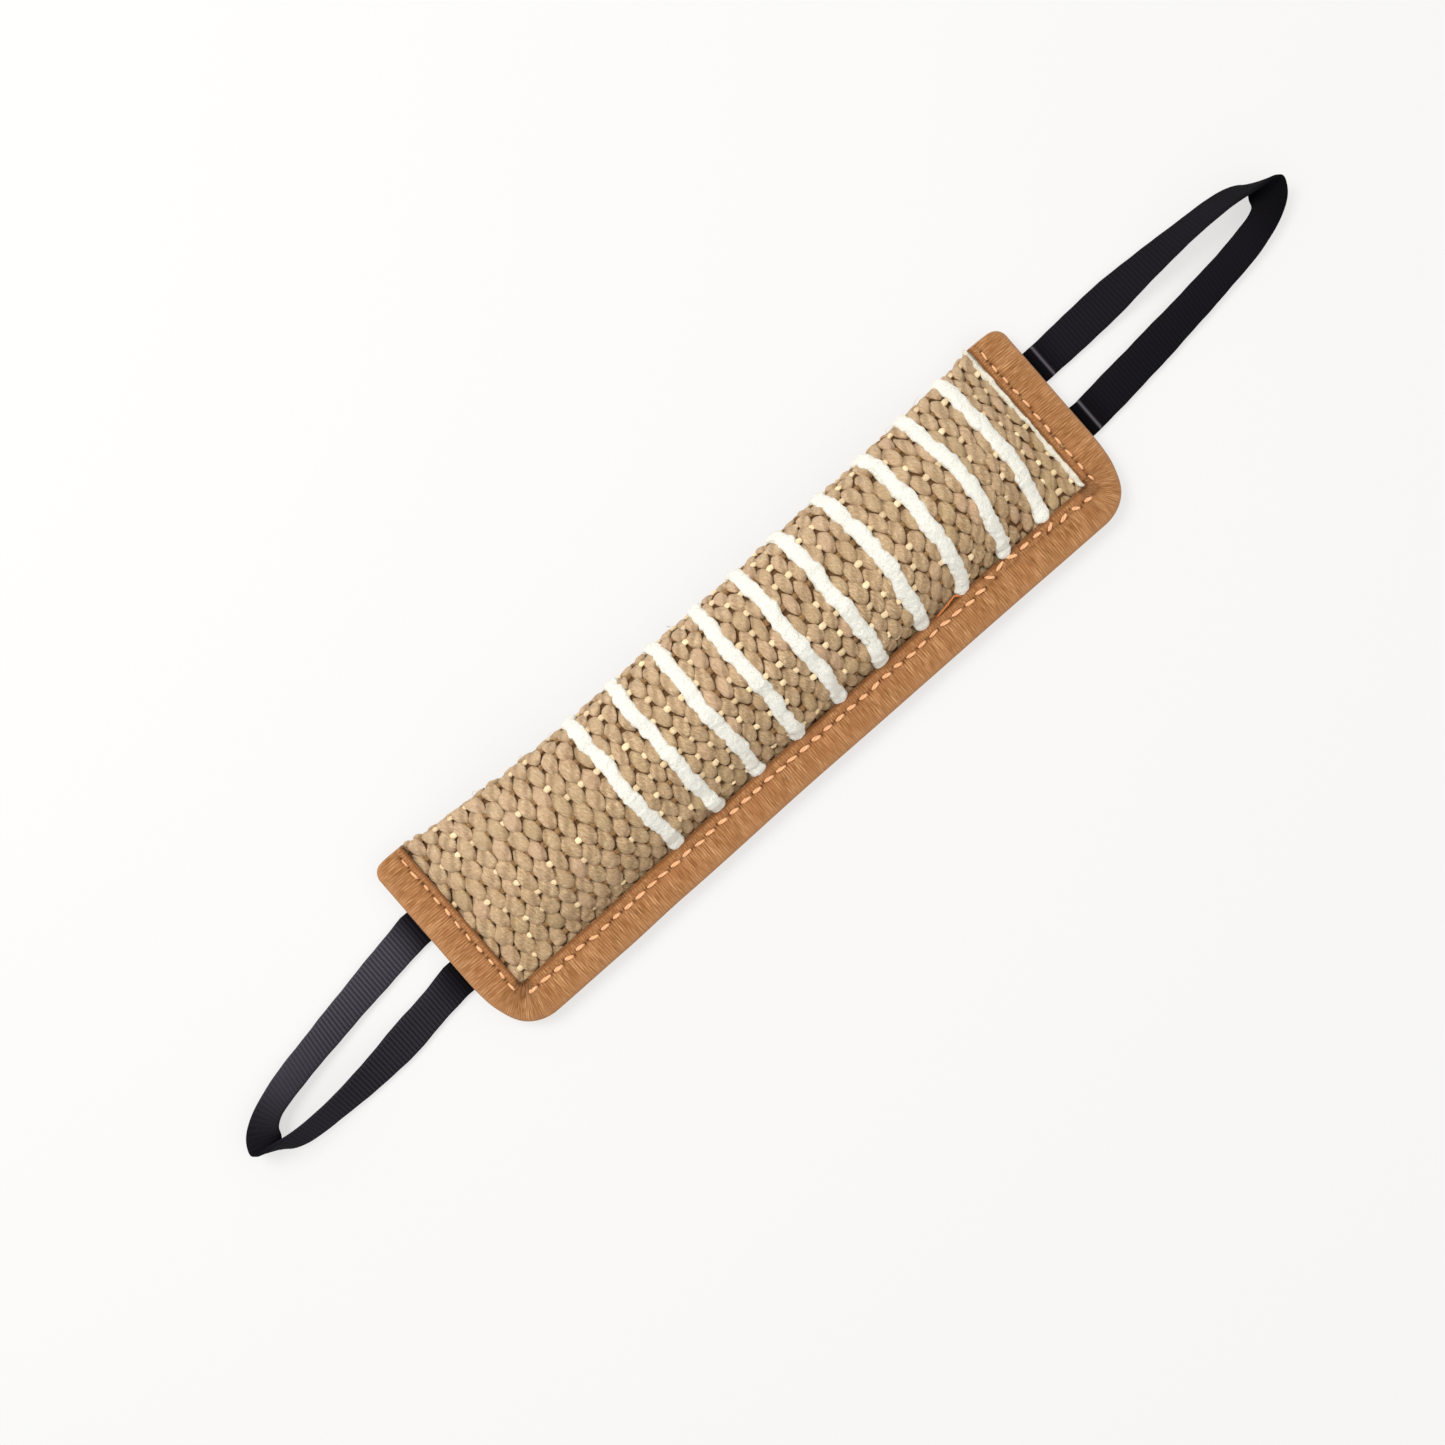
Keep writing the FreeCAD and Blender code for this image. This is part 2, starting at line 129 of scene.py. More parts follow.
def make_object(name, points, faces, look, body="pad", values=None):
    """Visible piece that rides on a body; values holds named numbers, one per point."""
    mesh = new_mesh(name, points, faces)
    for key, numbers in (values or {}).items():
        attribute = mesh.attributes.new(key, "FLOAT", "POINT")
        attribute.data.foreach_set("value", np.asarray(numbers, np.float32).ravel())
    mesh.polygons.foreach_set("use_smooth", [True] * len(mesh.polygons))
    mesh.materials.append(look)
    mesh.update()
    obj = place_object(name, mesh)
    if body:
        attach(obj, body)
    return obj


def tube_faces(rings, points, start=0, capped=True):
    """Faces of a tube whose points run ring by ring."""
    faces = []
    for i in range(rings - 1):
        low, high = start + i * points, start + (i + 1) * points
        for j in range(points):
            k = (j + 1) % points
            faces.append((low + j, low + k, high + k, high + j))
    if capped:
        faces.append(tuple(start + j for j in reversed(range(points))))
        faces.append(tuple(start + (rings - 1) * points + j for j in range(points)))
    return faces


def many_tubes(count, rings, points):
    """Faces of equal tubes whose points follow each other."""
    faces = []
    for i in range(count):
        faces += tube_faces(rings, points, i * rings * points)
    return faces


def ring_angles(count):
    return np.linspace(0, 2 * math.pi, count, endpoint=False)


def unit(vectors):
    return vectors / np.linalg.norm(vectors, axis=-1, keepdims=True)


def arc_lengths(line):
    """How far along a line of points each of them lies."""
    return np.concatenate([[0], np.cumsum(np.linalg.norm(np.diff(line, axis=0), axis=1))])


def bell(x, width):
    """1 where x is 0, fading to both sides."""
    return np.exp(-(x / width) ** 2)


def draws(source, count):
    """Function that draws a number between two limits for each of count things."""
    def each(low, high):
        return source.uniform(low, high, count)[:, None, None]
    return each


def slow_noise(place, waves, seed):
    """Smooth noise along a line: a sum of sines, each a (wavelength, size) pair."""
    phases = np.random.default_rng(seed).uniform(0, 2 * math.pi, len(waves))
    return sum(size * np.sin(2 * math.pi * np.asarray(place) / length + phase)
               for (length, size), phase in zip(waves, phases))


def lumps(points, wavelength, seed, waves=14):
    """Smooth noise in space, about -1 to 1."""
    source = np.random.default_rng(seed)
    directions = unit(source.normal(size=(waves, 3)))
    lengths = wavelength * source.uniform(0.7, 1.5, waves)
    phases = source.uniform(0, 2 * math.pi, waves)
    total = np.zeros(points.shape[:-1])
    for direction, length, phase in zip(directions, lengths, phases):
        total += np.sin(points @ direction * (2 * math.pi / length) + phase)
    return total / math.sqrt(waves)


def smooth_table(x, pairs):
    """Smooth curve through (place, value) pairs."""
    places, values = (np.array(column, float) for column in zip(*pairs))
    x = np.clip(np.asarray(x, float), places[0], places[-1])
    i = np.clip(np.searchsorted(places, x) - 1, 0, len(places) - 2)
    t = (x - places[i]) / (places[i + 1] - places[i])
    t = t * t * (3 - 2 * t)
    return values[i] * (1 - t) + values[i + 1] * t


def smoothstep(x, low, high):
    t = np.clip((np.asarray(x, float) - low) / (high - low), 0, 1)
    return t * t * (3 - 2 * t)


# The pad isn't quite straight: its two long edges wander by a millimetre or so
BOUND_WANDER = [(-150, -1.0), (-130, -1.2), (-100, -1.0), (-70, -0.3), (0, 0.7), (100, 1.2), (150, 1.3)]
FOLD_WANDER = [(-150, 0.0), (-120, -0.4), (-85, -1.2), (0, -0.2), (60, 1.0), (110, 1.4), (135, 0.8),
               (150, 0.4)]


def wander(points):
    """Shift points across the pad so that its long edges follow the two wander curves."""
    moved = np.array(points, float)
    share = np.clip((moved[..., 1] + BOUND_REACH) / (BOUND_REACH + FOLD_REACH), 0, 1)
    bound, fold = (smooth_table(moved[..., 0], table) for table in (BOUND_WANDER, FOLD_WANDER))
    moved[..., 1] += bound * (1 - share) + fold * share
    return moved


# -------------------------------------------------------------- stuffed cloth

RESTING_LEVEL = 0.8       # cloth below this level rests on the plane
UNDER_TAPE_SLOPE = 0.35   # how steeply the cloth runs on under the long tape
UNDER_TAPE_GAP = 0.1      # space that yarns keep below the end tapes
FREE_HEIGHT = 3.4         # tallest thing that stands on the cloth beside them
SETTLE = 3.0              # sharpness of the cloth's bend onto the resting plane
SWELL_FADE = 20.0         # the swelling fades out over this distance to the end tapes
CLOTH_IN_TAPE = 5.5       # how far the cloth runs on under the end tapes
BOW = 4.0                 # how far the weave leans out over the crown near the right end


def weave_bow(x, v):
    """Shift of the weave along the pad, largest on the crown towards the right end."""
    crown = np.sin(math.pi * np.clip(np.asarray(v, float) / 0.54, 0, 1))
    return BOW * crown * smoothstep(x, 20, 100) * (1 - smoothstep(x, 118, TAPE_START))


def fullness(x):
    """1 where the pad has its full height, 0 in the end seams."""
    way = min(max((TAPE_START - abs(x)) / TAPER, 0.0), 1.0)
    return math.sin(way * math.pi / 2) ** 1.3


def cubic(poles, steps=40):
    t = np.linspace(0, 1, steps + 1)[:, None]
    a, b, c, d = (np.array(pole, float) for pole in poles)
    return a * (1 - t) ** 3 + 3 * b * t * (1 - t) ** 2 + 3 * c * t ** 2 * (1 - t) + d * t ** 3


def cloth_line(x, count):
    """Evenly spaced (y, z) points from the upper seam over the fold to the lower seam."""
    full = fullness(x)
    fold = FOLD_REACH_END + (FOLD_REACH - FOLD_REACH_END) * full
    fold -= 1.6 * float(smoothstep(abs(x), TAPE_START, TAPE_START + 4))
    top = SEAM_TOP + (PAD_HEIGHT - SEAM_TOP) * full
    base = SEAM_LOW * (1 - full)
    nose = base + (top - base) * NOSE_SHARE
    half_stack = (SEAM_TOP - SEAM_LOW) / 2
    roll = half_stack + (FOLD_ROLL - half_stack) * full
    slope = SHOULDER_ANGLE * full
    reach = (CROWN_Y + TAPE_LINE) * SHOULDER_SHARE
    lean = (-TAPE_LINE + reach * math.cos(slope), SEAM_TOP + reach * math.sin(slope) * full)
    spread = (TAPE_LINE + BELLY_Y) / 2
    seam, crown, low_seam = (-TAPE_LINE, SEAM_TOP), (CROWN_Y, top), (-TAPE_LINE, SEAM_LOW)
    runs = [
        cubic([seam, lean, (CROWN_Y - reach, top), crown]),
        cubic([crown, (CROWN_Y + (fold - CROWN_Y) * ROUND, top),
               (fold, nose + (top - nose) * ROUND), (fold, nose)]),
        cubic([(fold, nose), (fold, nose + (base - nose) * ROUND),
               (fold - roll * (1 - ROUND), base), (fold - roll, base)]),
        cubic([(BELLY_Y, base), (BELLY_Y - spread, base), (-TAPE_LINE + spread, SEAM_LOW), low_seam]),
    ]
    line = np.concatenate(runs)
    way = arc_lengths(line)
    even = np.linspace(0, way[-1], count)
    return np.stack([np.interp(even, way, line[:, i]) for i in range(2)], axis=1)


def grid_normals(grid):
    return unit(np.cross(np.gradient(grid, axis=0), np.gradient(grid, axis=1)))


def puff(grid, pressure=4.0, frames=20, deflate=1.2, most=1.2):
    """Swell the cloth by simulation. The seams and the resting belly are held, no point
    moves beyond most, and the movement fades out towards the end tapes."""
    columns, rows = grid.shape[:2]
    start = grid - grid_normals(grid) * deflate
    held = np.zeros((columns, rows), bool)
    held[:, :2] = held[:, -2:] = True
    held[np.abs(grid[:, 0, 0]) > TAPE_START - 1.0] = True
    held |= grid[..., 2] < RESTING_LEVEL
    start[held] = grid[held]
    obj = place_object("swelling", new_mesh("swelling", start, tube_faces(columns, rows)))
    group = obj.vertex_groups.new(name="held")
    group.add(np.flatnonzero(held.ravel()).tolist(), 1.0, "REPLACE")
    cloth_modifier = obj.modifiers.new("cloth", "CLOTH")
    settings = cloth_modifier.settings
    settings.quality = 6
    settings.mass = 0.02
    settings.tension_stiffness = settings.compression_stiffness = 20
    settings.bending_stiffness = 1.5
    settings.shrink_min = -0.035
    settings.use_pressure = True
    settings.uniform_pressure_force = pressure
    settings.vertex_group_mass = "held"
    settings.effector_weights.gravity = 0
    cloth_modifier.collision_settings.use_collision = False
    scene = bpy.context.scene
    cloth_modifier.point_cache.frame_end = frames
    for number in range(1, frames + 1):
        scene.frame_set(number)
    result = obj.evaluated_get(bpy.context.evaluated_depsgraph_get()).to_mesh()
    moved = np.empty(len(result.vertices) * 3, np.float32)
    result.vertices.foreach_get("co", moved)
    moved = moved.reshape(grid.shape) / MM - grid
    scene.frame_set(1)
    bpy.data.objects.remove(obj)
    size = np.linalg.norm(moved, axis=-1, keepdims=True) + 1e-9
    free = smoothstep(TAPE_START - np.abs(grid[..., :1]), 0.0, SWELL_FADE)
    return grid + moved * (most * np.tanh(size / most) / size) * free


class Cloth:
    """The exposed cloth. A place on it is (x, v): v runs from 0 at the upper seam
    over the fold to 1 at the lower seam, and a little past both under the tape."""

    def __init__(self, columns=133, rows=73, end=TAPE_START + CLOTH_IN_TAPE):
        self.x = np.linspace(-end, end, columns)
        grid = np.array([[(x, y, z) for y, z in cloth_line(x, rows)] for x in self.x])
        middle = grid[columns // 2]
        self.length = np.linalg.norm(np.diff(middle, axis=0), axis=1).sum()
        grid = puff(grid)
        self.grid = wander(self.dress(grid))
        self.normals = grid_normals(self.grid)

    def dress(self, grid):
        """Cords draw the cloth in a little, and it puckers where it meets the end tapes."""
        x, v = grid[..., 0], np.linspace(0, 1, grid.shape[1])[None, :]
        inside = np.sin(math.pi * np.clip(v, 0, 1)) ** 0.5
        drawn = sum(bell(x - place, 4.0) for place in CORD_X)
        near_end = np.exp(-np.clip(TAPE_START - np.abs(x), 0, None) / 9.0)
        folds = slow_noise(v * self.length, [(13.0, 0.4), (21.0, 0.35)], 5)
        height = (0.25 - 0.6 * drawn) * inside * (1 - near_end) + folds * near_end * inside
        height = height * (np.abs(x) < TAPE_START)
        return grid + grid_normals(grid) * height[..., None]

    def sample(self, field, x, v):
        columns, rows = field.shape[:2]
        a = np.clip((np.asarray(x, float) - self.x[0]) / (self.x[1] - self.x[0]), 0, columns - 1.001)
        b = np.clip(np.asarray(v, float) * (rows - 1), 0, rows - 1.001)
        a, b = np.broadcast_arrays(a, b)
        i, j = a.astype(int), b.astype(int)
        s, t = (a - i)[..., None], (b - j)[..., None]
        low = field[i, j] * (1 - s) + field[i + 1, j] * s
        high = field[i, j + 1] * (1 - s) + field[i + 1, j + 1] * s
        return low * (1 - t) + high * t

    def lift(self, x, v, height):
        """Points at a height above the cloth, pressed down under the end tapes and
        settled on the resting plane."""
        past = (np.minimum(v, 0) + np.maximum(np.asarray(v, float) - 1, 0)) * self.length
        x = x + weave_bow(x, v)
        free = 1 - smoothstep(np.abs(x), TAPE_START - 0.8, TAPE_START)
        height = np.minimum(height, FREE_HEIGHT * free - UNDER_TAPE_GAP)
        spot = self.sample(self.grid, x, v)
        spot = spot + self.sample(self.normals, x, v) * np.asarray(height, float)[..., None]
        spot[..., 1] -= np.abs(past)
        spot[..., 2] += UNDER_TAPE_SLOPE * past
        return settle(spot)


def settle(points):
    """Press points that hang below the resting plane gently up onto it."""
    above = (points[..., 2] - REST_GAP) * SETTLE
    points[..., 2] = REST_GAP + np.logaddexp(0, above) / SETTLE
    return points


# ------------------------------------------------------------------ materials

def srgb(red, green, blue):
    """Linear colour from 0-255 display values."""
    def linear(value):
        share = value / 255
        return share / 12.92 if share <= 0.04045 else ((share + 0.055) / 1.055) ** 2.4
    return (linear(red), linear(green), linear(blue), 1.0)


class Look:
    """Node material built up round one Principled shader."""

    def __init__(self, name, roughness=0.9, sheen=0.0, specular=0.25):
        self.material = bpy.data.materials.new(name)
        self.material.use_nodes = True
        self.tree = self.material.node_tree
        self.shader = self.tree.nodes["Principled BSDF"]
        self.shader.inputs["Specular IOR Level"].default_value = specular
        self.shader.inputs["Sheen Weight"].default_value = sheen
        self.shader.inputs["Roughness"].default_value = roughness

    def put(self, source, socket):
        """Feed a socket with another node's output or with a plain value."""
        if isinstance(source, bpy.types.NodeSocket):
            self.tree.links.new(source, socket)
        else:
            socket.default_value = source

    def attribute(self, name):
        node = self.tree.nodes.new("ShaderNodeAttribute")
        node.attribute_name = name
        return node.outputs["Fac"]

    def place(self):
        """Place on the object in millimetres."""
        node = self.tree.nodes.new("ShaderNodeTexCoord")
        scaled = self.tree.nodes.new("ShaderNodeVectorMath")
        scaled.operation = "SCALE"
        self.put(node.outputs["Object"], scaled.inputs[0])
        scaled.inputs["Scale"].default_value = 1 / MM
        return scaled.outputs["Vector"]

    def vector(self, x, y, z):
        node = self.tree.nodes.new("ShaderNodeCombineXYZ")
        for source, socket in zip((x, y, z), node.inputs):
            self.put(source, socket)
        return node.outputs["Vector"]

    def noise(self, vector, scale, detail=2.0):
        node = self.tree.nodes.new("ShaderNodeTexNoise")
        self.put(vector, node.inputs["Vector"])
        node.inputs["Scale"].default_value = scale
        node.inputs["Detail"].default_value = detail
        return node.outputs["Fac"]

    def math(self, operation, a, b):
        node = self.tree.nodes.new("ShaderNodeMath")
        node.operation = operation
        self.put(a, node.inputs[0])
        self.put(b, node.inputs[1])
        return node.outputs["Value"]

    def times(self, a, b):
        return self.math("MULTIPLY", a, b)

    def span(self, value, low, high, to_low=0.0, to_high=1.0):
        """Map low..high to to_low..to_high, without going past either."""
        node = self.tree.nodes.new("ShaderNodeMapRange")
        for source, socket in zip((value, low, high, to_low, to_high), node.inputs):
            self.put(source, socket)
        return node.outputs["Result"]

    def mix(self, factor, a, b):
        node = self.tree.nodes.new("ShaderNodeMix")
        node.data_type = "RGBA"
        self.put(factor, node.inputs[0])
        self.put(a, node.inputs[6])
        self.put(b, node.inputs[7])
        return node.outputs[2]

    def layered(self, colour, layers):
        """Mix layers over a colour. A layer is a value, its low and high, the layer's
        weight at each of them, and the layer's own display colour."""
        for value, low, high, weight_low, weight_high, shade in layers:
            weight = self.span(value, low, high, weight_low, weight_high)
            colour = self.mix(weight, colour, srgb(*shade))
        return colour

    def finish(self, colour, height, depth, roughness=None):
        """Set the colour and a bump of the given depth in millimetres."""
        self.put(colour, self.shader.inputs["Base Color"])
        bump = self.tree.nodes.new("ShaderNodeBump")
        bump.inputs["Distance"].default_value = depth * MM
        self.put(height, bump.inputs["Height"])
        self.put(bump.outputs["Normal"], self.shader.inputs["Normal"])
        if roughness is not None:
            self.put(roughness, self.shader.inputs["Roughness"])
        return self.material


def jute_look():
    """Thick soft yarn: each float has its own tint, twisted plies and fine fibres along it."""
    look = Look("jute_yarn", sheen=0.08, specular=0.15)
    names = ("along", "across", "tint", "shade", "side", "ply")
    along, across, tint, shade, side, ply = map(look.attribute, names)
    twist = look.math("ADD", look.times(across, 3.4), look.times(along, 1.3))
    own = look.times(tint, 40.0)
    fibres = look.noise(look.vector(look.times(along, 0.45), twist, own), 1.5, 6.0)
    tufts = look.noise(look.vector(look.times(along, 0.5), across, own), 1.1, 2.0)
    blotch = look.noise(look.place(), 0.16, 3.0)
    colour = look.mix(look.span(fibres, 0.34, 0.66), srgb(170, 134, 88), srgb(250, 222, 180))
    colour = look.layered(colour, (
        (tufts, 0.35, 0.70, 0.0, 0.45, (190, 150, 110)),
        (tint, 0.72, 1.0, 0.0, 0.40, (222, 180, 152)),
        (tint, 0.25, 0.0, 0.0, 0.40, (176, 152, 104)),
        # painted light towards the fold and painted shade near the bound seam
        (side, 0.35, 1.0, 0.0, 0.32, (232, 204, 172)),
        (side, 0.30, 0.0, 0.0, 0.30, (158, 132, 88)),
        (blotch, 0.35, 0.75, 0.0, 0.35, (176, 140, 100)),
        # painted shade in the grooves between the plies
        (ply, -1.0, -0.2, 0.42, 0.0, (120, 86, 50)),
        # painted shade on the undersides and ends of the floats
        (shade, 0.0, 1.0, 0.72, 0.0, (118, 80, 36)),
    ))
    return look.finish(colour, look.math("ADD", fibres, tufts), 0.8,
                       look.span(fibres, 0.2, 0.8, 0.98, 0.85))


def weft_look():
    """Crossing yarn, which shows as small dots, many of them pale."""
    look = Look("weft_yarn")
    grain = look.noise(look.place(), 1.6, 3.0)
    dull = look.mix(look.span(grain, 0.3, 0.7), srgb(104, 74, 42), srgb(160, 124, 82))
    pale = look.mix(look.span(grain, 0.3, 0.7), srgb(238, 208, 156), srgb(255, 236, 200))
    return look.finish(look.mix(look.attribute("bright"), dull, pale), grain, 0.3)


def ground_look():
    """The deep inside of the weave, seen only in its gaps: dark brown painted shade for the shadow down in
    them.
    """
    look = Look("weave_gaps_painted_shade")
    grain = look.noise(look.place(), 1.2, 3.0)
    return look.finish(look.mix(grain, srgb(74, 50, 26), srgb(120, 86, 50)), grain, 0.4)


def cord_look():
    """Soft white cotton with fine grain and a few greyish flecks."""
    look = Look("white_cotton", sheen=0.1, specular=0.15)
    fuzz = look.noise(look.place(), 2.2, 5.0)
    flecks = look.noise(look.place(), 0.8, 3.0)
    colour = look.mix(look.span(fuzz, 0.35, 0.65), srgb(228, 225, 212), srgb(247, 245, 237))
    colour = look.layered(colour, (
        (flecks, 0.52, 0.72, 0.0, 0.4, (214, 218, 208)),
        (flecks, 0.45, 0.28, 0.0, 0.3, (240, 226, 194)),
        # painted shade: darker cream on the cord's lower flanks
        (look.attribute("shade"), 0.0, 1.0, 0.5, 0.0, (204, 186, 140)),
    ))
    return look.finish(colour, look.math("ADD", fuzz, flecks), 0.6)


def tape_look():
    """Camel grosgrain: ribs and streaks across the tape, blotched, with painted shade between the ribs, on
    the inner strip, in the needle holes, along the seam and in the crease at the inner edge.
    """
    look = Look("camel_tape", sheen=0.05, specular=0.15)
    travel, across, rib = map(look.attribute, ("travel", "across", "rib"))
    weave = look.noise(look.vector(look.times(travel, 2.3), look.times(across, 0.2), 0.0), 1.0, 4.0)
    streaks = look.noise(look.vector(look.times(travel, 0.38), look.times(across, 0.06), 5.0), 1.0, 3.0)
    blotch = look.noise(look.place(), 0.11, 4.0)
    colour = look.mix(look.span(weave, 0.40, 0.60), srgb(140, 92, 50), srgb(206, 155, 106))
    colour = look.layered(colour, (
        # painted shade between the ribs
        (rib, -1.0, 0.6, 0.65, 0.0, (120, 74, 34)),
        (streaks, 0.35, 0.60, 0.50, 0.0, (140, 92, 50)),
        (streaks, 0.55, 0.75, 0.0, 0.45, (204, 154, 110)),
        (blotch, 0.40, 0.72, 0.0, 0.5, (160, 104, 62)),
    ))
    # inner and dark are painted shade: the sloping inner strip, the needle holes, the sunk seam and the
    # crease at the inner edge
    for name, shade in (("edge", (190, 138, 94)), ("inner", (152, 98, 60)), ("dark", (92, 52, 20))):
        colour = look.mix(look.attribute(name), colour, srgb(*shade))
    height = look.math("ADD", look.times(weave, 0.6), look.times(rib, 0.3))
    return look.finish(colour, height, 0.4, look.span(weave, 0.2, 0.8, 0.95, 0.8))


def thread_look(name, light, dark):
    """Twisted sewing thread."""
    look = Look(name, roughness=0.6, sheen=0.1)
    ply = look.attribute("ply")
    grain = look.noise(look.place(), 1.1, 2.0)
    # painted shade in the ply grooves and lighter crests, over the thread's peach colour
    colour = look.mix(look.span(ply, -1.0, 1.0), srgb(*dark), srgb(*light))
    colour = look.mix(look.span(grain, 0.35, 0.7, 0.0, 0.45), colour, srgb(*dark))
    return look.finish(colour, look.noise(look.place(), 6.0, 2.0), 0.08)


def webbing_look():
    """Black ribbed webbing: greyer where painted sheen falls, with painted shade between the ribs and a
    painted highlight along the right loop's crease.
    """
    look = Look("black_webbing", roughness=0.85, specular=0.03)
    travel, across, rib, painted_sheen = map(look.attribute, ("travel", "across", "rib", "painted_sheen"))
    yarn = look.noise(look.vector(look.times(travel, 0.8), look.times(across, 2.6), 0.0), 1.6, 3.0)
    # painted sheen: the deep and high colours turn greyer where it is high
    deep = look.mix(painted_sheen, srgb(4, 3, 5), srgb(30, 27, 34))
    high = look.mix(painted_sheen, srgb(7, 6, 8), srgb(84, 81, 90))
    # painted shade between the ribs: deep colour in the troughs, high on the crests
    colour = look.mix(look.span(rib, -1.0, 1.0, 0.15, 0.85), deep, high)
    colour = look.mix(look.span(yarn, 0.45, 0.8, 0.0, 0.5), colour, high)
    # painted highlight along the crease line
    colour = look.mix(look.attribute("crease"), colour, srgb(112, 106, 112))
    return look.finish(colour, yarn, 0.18, look.span(yarn, 0.3, 0.7, 0.85, 0.65))


def felt_look():
    """Rolled cotton felt inside the pad."""
    look = Look("cotton_felt")
    fluff = look.noise(look.place(), 0.5, 5.0)
    return look.finish(look.mix(fluff, srgb(206, 194, 170), srgb(240, 232, 214)), fluff, 1.0)


# -------------------------------------------------------------- woven surface

def column_place(number):
    """X of a column of the weave; number 0 is the first cord."""
    pitch = np.where(np.asarray(number) >= 0, CORD_PITCH / 3, PLAIN_PITCH)
    return CORD_X[0] + pitch * number


def weave_rows(cloth):
    """(row number, v) of each row; the row before the first peeps out of the upper seam."""
    count = int((cloth.length - FIRST_ROW) / YARN_ROW) + 2
    return [(row, (FIRST_ROW + YARN_ROW * row) / cloth.length) for row in range(-1, count)]


def float_places(cloth):
    """(x, v) of every jute float: rows are staggered, and cords take every third
    column of each even row."""
    places = []
    for row, v in weave_rows(cloth):
        for number in range(-12, 32):
            taken_by_cord = row % 2 == 0 and number % 3 == 0 and 0 <= number <= 30
            x = float(column_place(number + 0.5 * (row % 2)))
            if not taken_by_cord and abs(x) < TAPE_START + 2.0:
                places.append((x, v))
    return np.array(places)


FLOAT_HALF_LENGTH = 6.1
FLOAT_HALF_WIDTH = 3.15
FLOAT_THICKNESS = 1.1
FLOAT_RINGS = 15
FLOAT_POINTS = 14
FLOATS_IN_A_PIECE = 440   # keeps each piece small enough to export


def make_floats(cloth, places, name, look, seed):
    """Leaf-shaped yarn floats: round and thick at the -Y end, pointed and tucked in at the +Y end."""
    source = np.random.default_rng(seed)
    count = len(places)
    t = np.sin(np.linspace(-1, 1, FLOAT_RINGS) * math.pi / 2 * 0.985)[None, :, None]
    angle = ring_angles(FLOAT_POINTS)[None, None, :]
    each = draws(source, count)
    tint = each(0, 1)
    x0, v0 = places[:, 0][:, None, None], places[:, 1][:, None, None]
    between_cords = smoothstep(x0, CORD_X[0] - CORD_PITCH / 2, CORD_X[0])
    beat = np.cos(2 * math.pi * (x0 - CORD_X[0]) / CORD_PITCH - math.pi)
    squeezed = between_cords * np.round(0.5 + 0.5 * beat)
    length = FLOAT_HALF_LENGTH * each(0.88, 1.10)
    width = FLOAT_HALF_WIDTH * each(0.84, 1.12) * (1 - 0.12 * squeezed)
    turn, lean = each(-0.17, 0.17), each(-0.35, 0.35)
    bluntness = 0.62 + 0.5 * smoothstep(t, -0.5, 0.5)
    round_end = (1 - t * t) ** bluntness * (1 - 0.15 * smoothstep(t, -0.1, 1.0))
    across = width * round_end * np.cos(angle)
    full = (1 - t * t) ** 0.5 * (1 - 0.30 * smoothstep(t, 0.0, 1.0))
    ply = np.cos(2 * (angle - math.pi / 2) + 3.6 * t + 6.3 * tint)
    upper = np.maximum(np.sin(angle), 0) ** 0.8
    lower = np.minimum(np.sin(angle), 0) * 0.6
    tuck = 0.5 * smoothstep(-t, 0.6, 1.0) + 1.5 * smoothstep(t, 0.1, 1.0)
    rounded = FLOAT_THICKNESS * full * (upper + lower + 0.15 * ply)
    height = each(-1.1, -0.75) - 0.2 * squeezed - tuck + rounded
    height = height + 0.2 * lean * across
    along = t * length
    x = x0 + across + turn * along + lean
    v = v0 + (along - turn * across + each(-0.4, 0.4)) / cloth.length
    shape = (count, FLOAT_RINGS, FLOAT_POINTS)
    spots = np.stack(np.broadcast_arrays(x, v * cloth.length, 9 * tint), axis=-1)
    height = height + 0.16 * lumps(spots, 2.4, seed + 50)
    points = cloth.lift(x, v, np.broadcast_to(height, shape))
    # Painted shade: darker on the underside of each float and at both ends, most at the round -Y end
    shade = smoothstep(np.broadcast_to(np.sin(angle), shape), -0.30, 0.62)
    shade = shade * (0.35 + 0.65 * smoothstep(t, -1.0, -0.55)) * (0.7 + 0.3 * smoothstep(-t, -1.0, -0.6))
    values = {"along": along, "across": across, "tint": tint, "shade": shade, "ply": ply,
              # side is 0 at the bound seam and 1 from the fold on; it carries painted light and painted
              # shade
              "side": np.clip(2 * v0, 0, 1)}
    values = {key: np.broadcast_to(numbers, shape) for key, numbers in values.items()}
    make_object(name, points, many_tubes(count, FLOAT_RINGS, FLOAT_POINTS), look,
                values=values)


